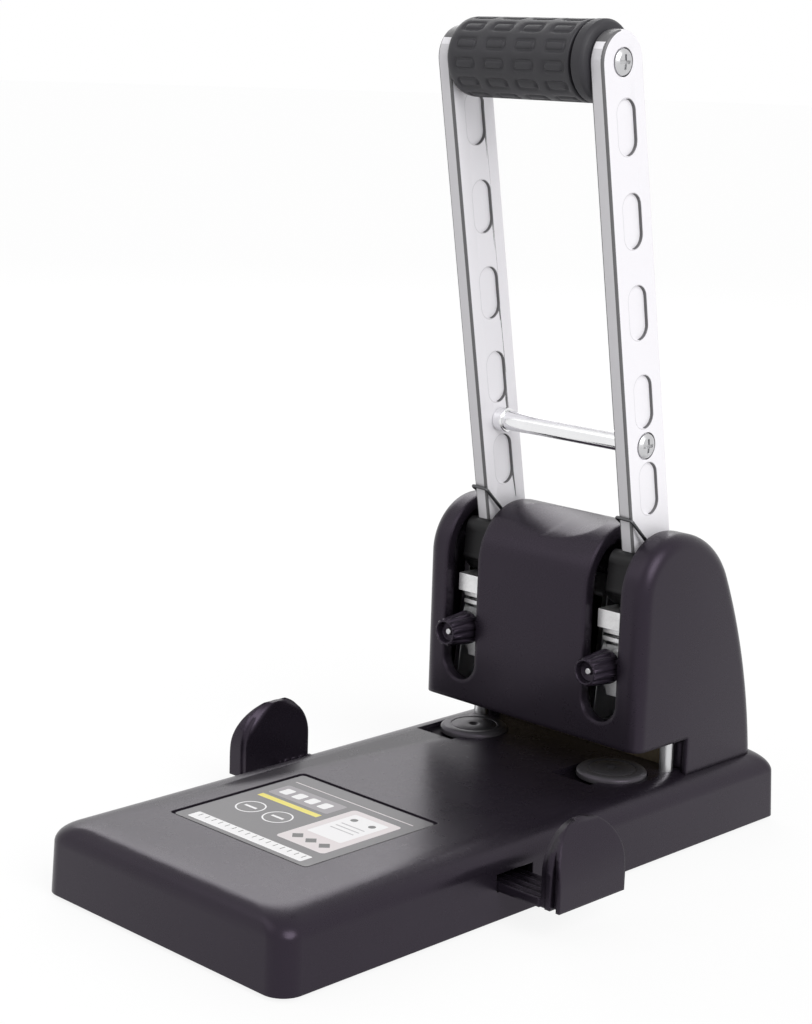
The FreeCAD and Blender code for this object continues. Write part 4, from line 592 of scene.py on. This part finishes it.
def finish_for(name):
    """The material of one of the record's slots, or a variant with softer corners, made once."""
    colours = bpy.context.scene.punch_finishes
    black = colours.plastic
    makers = {
        "black_plastic": (moulded_plastic, black, 0.27, 0.28, mm(0.6)),
        "cover_plastic": (moulded_plastic, black, 0.27, 0.28, mm(2.6)),
        "paddle_plastic": (moulded_plastic, black, 0.27, 0.28, mm(1.3)),
        "under_plastic": (moulded_plastic, shade(black, 0.9), 0.5, 0.35),
        "disc_plastic": (moulded_plastic, colours.disc, 0.3, 0.4),
        "knob_plastic": (moulded_plastic, shade(black, 1.5), 0.24, 0.3, mm(0.5)),
        "label": (printed_label, middle_of("label_plate")),
        "rubber": (soft_rubber, colours.rubber, 0.5),
        "arm_silver": (arm_lacquer, colours.arm, 0.42, *arm_line()),
        "chrome": (plated_metal, (0.86, 0.86, 0.87), 0.08),
        "steel": (brushed_metal, (0.60, 0.60, 0.61), 0.3, "X"),
        "zinc_casting": (cast_metal, (0.93, 0.93, 0.94), 0.26),
        # The pedestal's brassy casting is darkened to paint the shade of the throat under the
        # head.
        "brassy_casting": (cast_metal, (0.15, 0.12, 0.08), 0.42),
        # Partly the black oxide's own colour, partly painted shade: darkened further to stand in
        # for the shade inside the slots.
        "black_metal": (blacked_metal, (0.008, 0.0075, 0.0085), 0.3),
        "spring_wire": (brushed_metal, (0.10, 0.10, 0.105), 0.3, "Z", 0.01),
        "tool_steel": (brushed_metal, (0.66, 0.66, 0.67), 0.2, "Z"),
    }
    if name not in FINISHES:
        make, *details = makers[name]
        FINISHES[name] = make(name, *details)
    return FINISHES[name]


def slot_of(node):
    """The record's material slot of a node."""
    for part in frame["record"]["subparts"]:
        if part["node"] == node:
            return part["material_slot"]
    raise KeyError(node)


def body_of(node):
    return NODES[node]["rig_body"]


def middle_of(node):
    low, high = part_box(node)
    return (low + high) / 2


def arm_line():
    """The arms' lean, their axle's place in the Y-Z plane and their width."""
    low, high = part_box("arm_left")
    axle = middle_of("pivot_axle")
    lean = math.radians(ARM_LEAN)
    return lean, (axle.y, axle.z), high.z - low.z - mm(ARM_REACH) * math.cos(lean)


def dress(node, name, edge=0.0, smooth=28.0, finish=None):
    """Sews a node's form, breaks its sharp edges if asked and gives it a finish.

    The finish is its slot's own, unless another is named.
    """
    slot = slot_of(node)
    material = finish_for(finish or slot)
    body = body_of(node)
    return finish_piece(node_form(node), name, body, [node], material, smooth, edge)


# ---------------------------------------------------------------- settings
def length_setting(name, description, default):
    return bpy.props.FloatProperty(
        name=name, description=description, default=default, unit="LENGTH", precision=4
    )


def colour_setting(name, description, default):
    return bpy.props.FloatVectorProperty(
        name=name, description=description, default=default, subtype="COLOR", min=0.0, max=1.0
    )


class BaseSettings(bpy.types.PropertyGroup):
    label_edge: length_setting("Label edge", "Rounding of the label plate's rim", mm(0.15))
    disc_steps: bpy.props.IntProperty(
        name="Disc steps", description="Steps round a cutting disc", default=96, min=24
    )


class HeadSettings(bpy.types.PropertyGroup):
    casting_edge: length_setting("Casting edge", "Rounding of the die-cast edges", mm(0.25))
    knob_edge: length_setting("Knob edge", "Rounding of the knobs' flutes", mm(0.22))
    scoop_radius: length_setting("Scoop radius", "Hollow in the crown for the thumb", mm(75))
    scoop_height: length_setting("Scoop height", "Scoop's lowest line over the floor", mm(129.2))


class LeverSettings(bpy.types.PropertyGroup):
    arm_edge: length_setting("Arm edge", "Rounding of pockets and holes in the arms", mm(0.3))
    fork_edge: length_setting("Fork edge", "Rounding of the cam forks", mm(0.35))
    screw_edge: length_setting("Screw edge", "Rounding of the arm screws' heads", mm(0.15))
    collar_edge: length_setting("Collar edge", "Rounding of the tie bar's collars", mm(0.12))
    flange_edge: length_setting("Flange edge", "Rounding of the grip's end flange", mm(0.2))
    grip_cells: bpy.props.IntProperty(
        name="Grip cells", description="Pads round the grip", default=12, min=6
    )
    grip_columns: bpy.props.IntProperty(
        name="Grip columns", description="Pads along the grip", default=4, min=1
    )
    groove_depth: length_setting("Groove depth", "Depth of the ring grooves in the grip", mm(0.75))
    groove_width: length_setting("Groove width", "Width of the ring grooves in the grip", mm(0.9))
    pad_length: length_setting("Pad length", "Length of a pad along the grip", mm(11.5))


class FinishSettings(bpy.types.PropertyGroup):
    plastic: colour_setting("Plastic", "Moulded housings", (0.0104, 0.0082, 0.0122))
    disc: colour_setting("Cutting discs", "Plastic of the cutting discs", (0.046, 0.044, 0.048))
    rubber: colour_setting("Rubber", "Grip sleeve and feet", (0.022, 0.021, 0.026))
    arm: colour_setting("Arms", "Lacquer of the lever arms", (0.89, 0.875, 0.91))
    floor: colour_setting("Floor", "Studio floor and backdrop", (0.90, 0.90, 0.90))


class StageSettings(bpy.types.PropertyGroup):
    camera_place: bpy.props.FloatVectorProperty(
        name="Camera place",
        description="Where the camera stands",
        default=(0.59519, -0.63033, 0.33232),
        subtype="TRANSLATION",
        unit="LENGTH",
        precision=5,
    )
    azimuth: bpy.props.FloatProperty(
        name="Azimuth",
        description="Camera's bearing round the punch",
        default=math.radians(44.33),
        subtype="ANGLE",
    )
    elevation: bpy.props.FloatProperty(
        name="Elevation",
        description="Camera's height angle",
        default=math.radians(12.14),
        subtype="ANGLE",
    )
    roll: bpy.props.FloatProperty(
        name="Roll",
        description="Camera's tilt about its own axis",
        default=math.radians(1.81),
        subtype="ANGLE",
    )
    lens: bpy.props.FloatProperty(
        name="Lens",
        description="Focal length over a 36 mm high picture",
        default=76.94,
        subtype="DISTANCE_CAMERA",
        min=1.0,
    )
    key: bpy.props.FloatProperty(
        name="Key light", description="Strength of the large soft light", default=1.95, min=0.0
    )
    sky: bpy.props.FloatProperty(
        name="Studio light",
        description="Strength of the light from all round",
        default=0.42,
        min=0.0,
    )


# ---------------------------------------------------------------- base
class PUNCH_OT_base_shell(bpy.types.Operator):
    """Base shell with soft shoulders, disc seats, label recess and guide slots"""

    bl_idname = "punch.base_shell"
    bl_label = "Base shell"

    def execute(self, context):
        dress("base_shell", "base_top")
        return {"FINISHED"}


class PUNCH_OT_label(bpy.types.Operator):
    """Printed plate in the recess of the base"""

    bl_idname = "punch.label"
    bl_label = "Label plate"

    def execute(self, context):
        plate = rounded_block(*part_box("label_plate"), mm(2.0))
        finish_piece(
            plate,
            "label_print",
            "base",
            ["label_plate"],
            finish_for("label"),
            edge=context.scene.punch_base.label_edge,
        )
        return {"FINISHED"}


class PUNCH_OT_cutting_discs(bpy.types.Operator):
    """Cutting discs with a bevelled rim, a worn ring and a dimple"""

    bl_idname = "punch.cutting_discs"
    bl_label = "Cutting discs"

    def outline(self, radius, top):
        """Half section, from the foot of the hub up round the rim and in to the dimple."""
        hub, break_edge = mm(4.5), mm(0.3)
        underside = top - mm(3.35)
        ring = radius - mm(4.9)
        ring_floor = top - mm(0.22)
        return [
            (0, 0),
            (hub - break_edge, 0),
            (hub, break_edge),
            (hub, underside),
            (radius - break_edge, underside),
            (radius, underside + break_edge),
            (radius, top - mm(1.3)),
            (radius - mm(0.12), top - mm(1.05)),
            (radius - mm(1.15), top - mm(0.12)),
            (radius - mm(1.4), top),
            (ring + mm(0.5), top),
            (ring + mm(0.3), top - mm(0.08)),
            (ring + mm(0.1), ring_floor),
            (ring - mm(0.1), ring_floor),
            (ring - mm(0.3), top - mm(0.08)),
            (ring - mm(0.5), top),
            (mm(2.6), top),
            (mm(2.3), top - mm(0.06)),
            (mm(1.5), top - mm(0.55)),
            (mm(0.8), top - mm(0.85)),
            (0, top - mm(0.95)),
        ]

    def execute(self, context):
        steps = context.scene.punch_base.disc_steps
        finish = finish_for("disc_plastic")
        for side in SIDES:
            node = "disc_" + side
            low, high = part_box(node)
            centre = ((low.x + high.x) / 2, (low.y + high.y) / 2, low.z)
            outline = self.outline((high.x - low.x) / 2, high.z - low.z)
            disc = turned(outline, centre, Z_AXIS, steps)
            finish_piece(disc, "cutting_disc_" + side, node, [node], finish)
        return {"FINISHED"}


class PUNCH_OT_side_guides(bpy.types.Operator):
    """Side guides: half-round paddle and toothed bar"""

    bl_idname = "punch.side_guides"
    bl_label = "Side guides"

    def execute(self, context):
        for side in SIDES:
            dress("guide_" + side, "side_guide_" + side, finish="paddle_plastic")
        return {"FINISHED"}


# ---------------------------------------------------------------- head
class PUNCH_OT_head_cover(bpy.types.Operator):
    """Head cover with two slots and a scooped middle"""

    bl_idname = "punch.head_cover"
    bl_label = "Head cover"

    scoop_rise = 16.0             # degrees, to the back
    wall_radius = mm(180)         # hollow that stays within the cover's own wall
    wall_height = mm(126.2)
    wall_steps = 192
    scoop_steps = 384
    shading_reach = mm(9)

    def crown(self):
        """The crown between the slots at its full height, down to the wall under the scoop."""
        low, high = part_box("head_cover_middle")
        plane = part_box("head_cheek_right")[0].x
        cheek = [vertex.co for vertex in NODES["head_cheek_right"].data.vertices]
        section = [place for place in cheek if abs(place.x - plane) < mm(0.01)]
        solid = bmesh.new()
        for place in section:
            for x in (low.x, high.x):
                solid.verts.new((x, place.y, place.z))
        bmesh.ops.remove_doubles(solid, verts=solid.verts, dist=mm(0.002))
        spare = bmesh.ops.convex_hull(solid, input=solid.verts)
        inside = list({*spare["geom_interior"], *spare["geom_unused"]})
        bmesh.ops.delete(solid, geom=inside, context="VERTS")
        bmesh.ops.recalc_face_normals(solid, faces=solid.faces)
        wall = self.hollow(self.wall_radius, self.wall_height, self.wall_steps)
        return carved(solid, wall, "INTERSECT")

    def hollow(self, radius, height, steps):
        """Cylinder that rises to the back; over the discs, its lowest line is at the height."""
        upright = Matrix.Rotation(math.radians(90.0), 3, "X")
        rise = Matrix.Rotation(math.radians(self.scoop_rise), 3, "X")
        lip = Vector((0.0, middle_of("disc_right").y, height))
        tool = bmesh.new()
        bmesh.ops.create_cone(
            tool, cap_ends=True, segments=steps, radius1=radius, radius2=radius, depth=mm(300)
        )
        bmesh.ops.rotate(tool, verts=tool.verts, matrix=upright)
        bmesh.ops.rotate(tool, verts=tool.verts, matrix=rise)
        bmesh.ops.translate(tool, verts=tool.verts, vec=lip + rise @ Z_AXIS * radius)
        low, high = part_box("head_cover_middle")
        room = mm(60)
        keep = block((low.x, low.y - room, low.z), (high.x, high.y + room, high.z + room))
        return carved(tool, keep, "INTERSECT")

    def execute(self, context):
        settings = context.scene.punch_head
        nodes = ["head_cover_back", "head_cover_middle"]
        nodes += [part + side for part in ("slot_sill_", "head_cheek_") for side in SIDES]
        scoop = self.hollow(settings.scoop_radius, settings.scoop_height, self.scoop_steps)
        shell = carved(joined_form(nodes), self.crown(), "UNION")
        shell = whole_flats(carved(shell, scoop))
        finish, slot = finish_for("cover_plastic"), slot_of(nodes[0])
        piece = finish_piece(shell, "head_shell", "base", nodes, finish, smooth=30.0)
        even_shading(piece, self.shading_reach)
        return {"FINISHED"}


class PUNCH_OT_slides(bpy.types.Operator):
    """Die-cast slides and the brackets behind them"""

    bl_idname = "punch.slides"
    bl_label = "Punch slides"

    def return_spring(self, side):
        """Coil behind a slide, with a mesh of its own."""
        node, press = "return_spring_" + side, "punch_press_" + side
        low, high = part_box(node)
        joints = {joint["name"]: joint for joint in frame["record"]["behaviour"]["joints"]}
        stroke = joints[press]["range_m"][1]
        coil = dress(node, "slide_spring_" + side, smooth=60.0)
        1 - stroke / (high.z - low.z)
        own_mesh(coil)

    def execute(self, context):
        edge = context.scene.punch_head.casting_edge
        for side in SIDES:
            dress("punch_carrier_" + side, "slide_" + side, edge)
            dress("bracket_" + side, "axle_bracket_" + side, edge)
            self.return_spring(side)
        dress("pedestal", "throat_block", edge)
        return {"FINISHED"}


class PUNCH_OT_knobs(bpy.types.Operator):
    """Fluted clamp knobs"""

    bl_idname = "punch.knobs"
    bl_label = "Clamp knobs"

    def execute(self, context):
        edge = context.scene.punch_head.knob_edge
        for side in SIDES:
            dress("knob_" + side, "clamp_knob_" + side, edge, smooth=40.0)
        return {"FINISHED"}


# ---------------------------------------------------------------- lever
class PUNCH_OT_arms(bpy.types.Operator):
    """Lever arms with pressed pockets, and the cam forks that clasp them"""

    bl_idname = "punch.arms"
    bl_label = "Lever arms"

    def execute(self, context):
        settings = context.scene.punch_lever
        for side in SIDES:
            dress("arm_" + side, "lever_arm_" + side, settings.arm_edge)
            dress("cam_" + side, "cam_fork_" + side, settings.fork_edge)
        dress("arm_screws", "pan_screws", settings.screw_edge)
        dress("crossbar_collars", "tie_bar_collars", settings.collar_edge)
        return {"FINISHED"}


class PUNCH_OT_grip(bpy.types.Operator):
    """Rubber grip with rows of ring-grooved pads, and its end flange"""

    bl_idname = "punch.grip"
    bl_label = "Grip"

    cell_steps = 3                # round the grip: two of pad and one between pads
    bore = mm(4.1)
    bare_left = mm(3.2)           # ends without pads
    bare_right = mm(0.2)

    def columns(self, settings, low, high):
        """Places along the grip of the pads' middles."""
        first = low.x + self.bare_left
        pitch = (high.x - self.bare_right - first) / settings.grip_columns
        return [first + pitch * (index + 0.5) for index in range(settings.grip_columns)]

    def outline(self, columns, half_pad, radius, low, high):
        """Half section, with a point wherever a row of faces of the pads begins."""
        body = radius - mm(0.05)
        points = [(self.bore, low.x), (body - mm(3.4), low.x)]
        points += [(body - mm(1.3), low.x + mm(0.7)), (body - mm(0.2), low.x + mm(2.4))]
        for middle in columns:
            points += [(body, middle + half_pad * share) for share in (-1.0, -0.4, 0.4, 1.0)]
        points += [(body, high.x - mm(0.5)), (body - mm(0.5), high.x), (self.bore, high.x)]
        return points

    def pad_faces(self, sleeve, centre, radius, steps, columns, half_pad):
        faces = []
        for face in sleeve.faces:
            middle = face.calc_center_median() - centre
            turn = math.atan2(middle.z, middle.y) / (2 * math.pi) * steps
            on_pad = math.floor(turn) % self.cell_steps != self.cell_steps - 1
            along = any(abs(middle.x - x) < half_pad for x in columns)
            if along and on_pad and middle.yz.length > radius * 0.9:
                faces.append(face)
        return faces

    def ring_groove(self, sleeve, pads, settings):
        """Sinks a groove round the inside of each pad's edge."""
        wall = mm(0.3)
        for thickness, depth in (
            (wall, -settings.groove_depth),
            (settings.groove_width, 0.0),
            (wall, settings.groove_depth),
        ):
            bmesh.ops.inset_region(
                sleeve,
                faces=pads,
                thickness=thickness,
                depth=depth,
                use_boundary=True,
                use_even_offset=True,
            )

    def execute(self, context):
        settings = context.scene.punch_lever
        low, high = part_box("grip_sleeve")
        centre = Vector((0.0, (low.y + high.y) / 2, (low.z + high.z) / 2))
        radius = (high.z - low.z) / 2
        half_pad = settings.pad_length / 2
        steps = settings.grip_cells * self.cell_steps
        columns = self.columns(settings, low, high)
        outline = self.outline(columns, half_pad, radius, low, high)
        sleeve = turned(outline, centre, X_AXIS, steps)
        pads = self.pad_faces(sleeve, centre, radius, steps, columns, half_pad)
        self.ring_groove(sleeve, pads, settings)
        rubber = finish_for("rubber")
        nodes = ["grip_sleeve"]
        piece = finish_piece(sleeve, "grip_rubber", "lever", nodes, rubber, smooth=180.0)
        smoother = piece.modifiers.new("soft", "SUBSURF")
        smoother.levels = 2
        smoother.render_levels = 2
        dress("grip_cap", "grip_flange", settings.flange_edge)
        return {"FINISHED"}


# ---------------------------------------------------------------- carried over
class PUNCH_OT_carried_parts(bpy.types.Operator):
    """Finishes for the parts whose own form is shown; the stop posts are bright steel"""

    bl_idname = "punch.carried_parts"
    bl_label = "Carried-over parts"

    def execute(self, context):
        for name, node in NODES.items():
            if node.hide_render:
                continue
            finish = "steel" if name == "stop_posts" else slot_of(name)
            node.data.materials.clear()
            node.data.materials.append(finish_for(finish))
        return {"FINISHED"}


# ---------------------------------------------------------------- stage
def look(place, back, roll=0.0):
    """Matrix of a thing at a place with its back turned one way and its head upright."""
    across = (-back).cross(Z_AXIS).normalized()
    up = across.cross(-back)
    x = across * math.cos(roll) + up * math.sin(roll)
    y = up * math.cos(roll) - across * math.sin(roll)
    turn = Matrix((x, y, back)).transposed()
    return Matrix.Translation(place) @ turn.to_4x4()


def light(kind, name, place, target, power, **shape):
    """Light that stands at a place and is aimed at a target."""
    data = bpy.data.lights.new(name, kind)
    data.energy = power
    for key, value in shape.items():
        setattr(data, key, value)
    lamp = bpy.data.objects.new(name, data)
    lamp.matrix_world = look(place, (Vector(place) - Vector(target)).normalized())
    bpy.context.scene.collection.objects.link(lamp)


def seen_directly(tree):
    """One where a surface or the world is seen straight, in a mirror or through glass."""
    paths = tree.nodes.new("ShaderNodeLightPath")
    seen = paths.outputs["Is Camera Ray"]
    for name in ("Is Glossy Ray", "Is Transmission Ray"):
        either = tree.nodes.new("ShaderNodeMath")
        either.operation = "MAXIMUM"
        tree.links.new(seen, either.inputs[0])
        tree.links.new(paths.outputs[name], either.inputs[1])
        seen = either.outputs[0]
    return seen


def mixed_shaders(tree, share, first, second, output):
    """Feeds the output with two shaders, mixed by a share."""
    mix = tree.nodes.new("ShaderNodeMixShader")
    for socket, link in zip(mix.inputs, (share, first.outputs[0], second.outputs[0])):
        tree.links.new(link, socket)
    tree.links.new(mix.outputs[0], output.inputs["Surface"])


def shining(tree, kind, strength):
    """Node of a kind that gives out white light."""
    made = tree.nodes.new(kind)
    made.inputs["Color"].default_value = WHITE
    made.inputs["Strength"].default_value = strength
    return made


def studio_surface(name, colour):
    """White floor: most of what is seen is its own white, and the rest keeps the shadow."""
    own_white, white_share = 1.03, 0.85
    finish = Finish(name, roughness=0.9)
    speckle = finish.noise(mm(3), 2.0)
    finish.set("Base Color", finish.mixed(shade(colour, 0.99), shade(colour, 1.01), speckle))
    tree = finish.tree
    share = Value(finish, seen_directly(tree)) * white_share
    white = shining(tree, "ShaderNodeEmission", own_white)
    mixed_shaders(tree, share.socket, finish.shader, white, tree.nodes["Material Output"])
    return finish.material


class PUNCH_OT_stage(bpy.types.Operator):
    """Pale floor, soft studio light and camera"""

    bl_idname = "punch.stage"
    bl_label = "Stage"

    def execute(self, context):
        scene = context.scene
        settings = scene.punch_stage
        round_floor = bmesh.new()
        bmesh.ops.create_circle(round_floor, cap_ends=True, radius=14.0, segments=96)
        floor = object_from(round_floor, "studio_floor")
        floor.data.materials.append(studio_surface("studio_floor", scene.punch_finishes.floor))

        azimuth, elevation = settings.azimuth, settings.elevation
        back = Vector(
            (
                math.sin(azimuth) * math.cos(elevation),
                -math.cos(azimuth) * math.cos(elevation),
                math.sin(elevation),
            )
        )
        data = bpy.data.cameras.new("camera")
        data.sensor_fit = "VERTICAL"
        data.sensor_height = 36.0
        data.lens = settings.lens
        data.clip_start = 0.01
        camera = bpy.data.objects.new("camera", data)
        camera.matrix_world = look(settings.camera_place, back, settings.roll)
        scene.collection.objects.link(camera)
        scene.camera = camera

        target = (0.0, 0.02, 0.12)
        key = settings.key
        light("SUN", "key_light", (2.37, -0.6, 1.74), (0, 0, 0), key, angle=math.radians(42))
        square = {"shape": "RECTANGLE", "size": 1.3, "size_y": 1.3}
        oblong = {"shape": "RECTANGLE", "size": 1.4, "size_y": 0.9}
        light("AREA", "front_light", (-0.7, -1.3, 1.5), target, key * 2.2, **square)
        light("AREA", "back_light", (-1.33, 0.98, 1.19), target, key * 4.4, **oblong)
        self.light_world(scene, settings.sky)
        scene.view_settings.view_transform = "Standard"
        return {"FINISHED"}

    def light_world(self, scene, strength):
        world = bpy.data.worlds.new("studio")
        world.use_nodes = True
        tree = world.node_tree
        tree.nodes.clear()
        lit = shining(tree, "ShaderNodeBackground", strength)
        seen = shining(tree, "ShaderNodeBackground", 1.0)
        out = tree.nodes.new("ShaderNodeOutputWorld")
        mixed_shaders(tree, seen_directly(tree), lit, seen, out)
        scene.world = world


# ---------------------------------------------------------------- add-on
SETTINGS = {
    "punch_base": BaseSettings,
    "punch_head": HeadSettings,
    "punch_lever": LeverSettings,
    "punch_finishes": FinishSettings,
    "punch_stage": StageSettings,
}
OPERATORS = (
    PUNCH_OT_base_shell,
    PUNCH_OT_label,
    PUNCH_OT_cutting_discs,
    PUNCH_OT_side_guides,
    PUNCH_OT_head_cover,
    PUNCH_OT_slides,
    PUNCH_OT_knobs,
    PUNCH_OT_arms,
    PUNCH_OT_grip,
    PUNCH_OT_carried_parts,
    PUNCH_OT_stage,
)


class PUNCH_PT_panel(bpy.types.Panel):
    """Pieces of the punch and their settings"""

    bl_idname = "PUNCH_PT_panel"
    bl_label = "Two-hole lever punch"
    bl_space_type = "VIEW_3D"
    bl_region_type = "UI"
    bl_category = "Punch"

    def draw(self, context):
        for name, group in SETTINGS.items():
            box = self.layout.box()
            for setting in group.__annotations__:
                box.prop(getattr(context.scene, name), setting)
        for operator in OPERATORS:
            self.layout.operator(operator.bl_idname)


def register():
    for group in SETTINGS.values():
        bpy.utils.register_class(group)
    for operator in OPERATORS:
        bpy.utils.register_class(operator)
    bpy.utils.register_class(PUNCH_PT_panel)
    for name, group in SETTINGS.items():
        setattr(bpy.types.Scene, name, bpy.props.PointerProperty(type=group))


def unregister():
    for name in SETTINGS:
        delattr(bpy.types.Scene, name)
    bpy.utils.unregister_class(PUNCH_PT_panel)
    for group in (*OPERATORS, *SETTINGS.values()):
        bpy.utils.unregister_class(group)


def main():
    register()
    for operator in OPERATORS:
        group, name = operator.bl_idname.split(".")
        getattr(getattr(bpy.ops, group), name)()


if __name__ == "__main__":
    main()
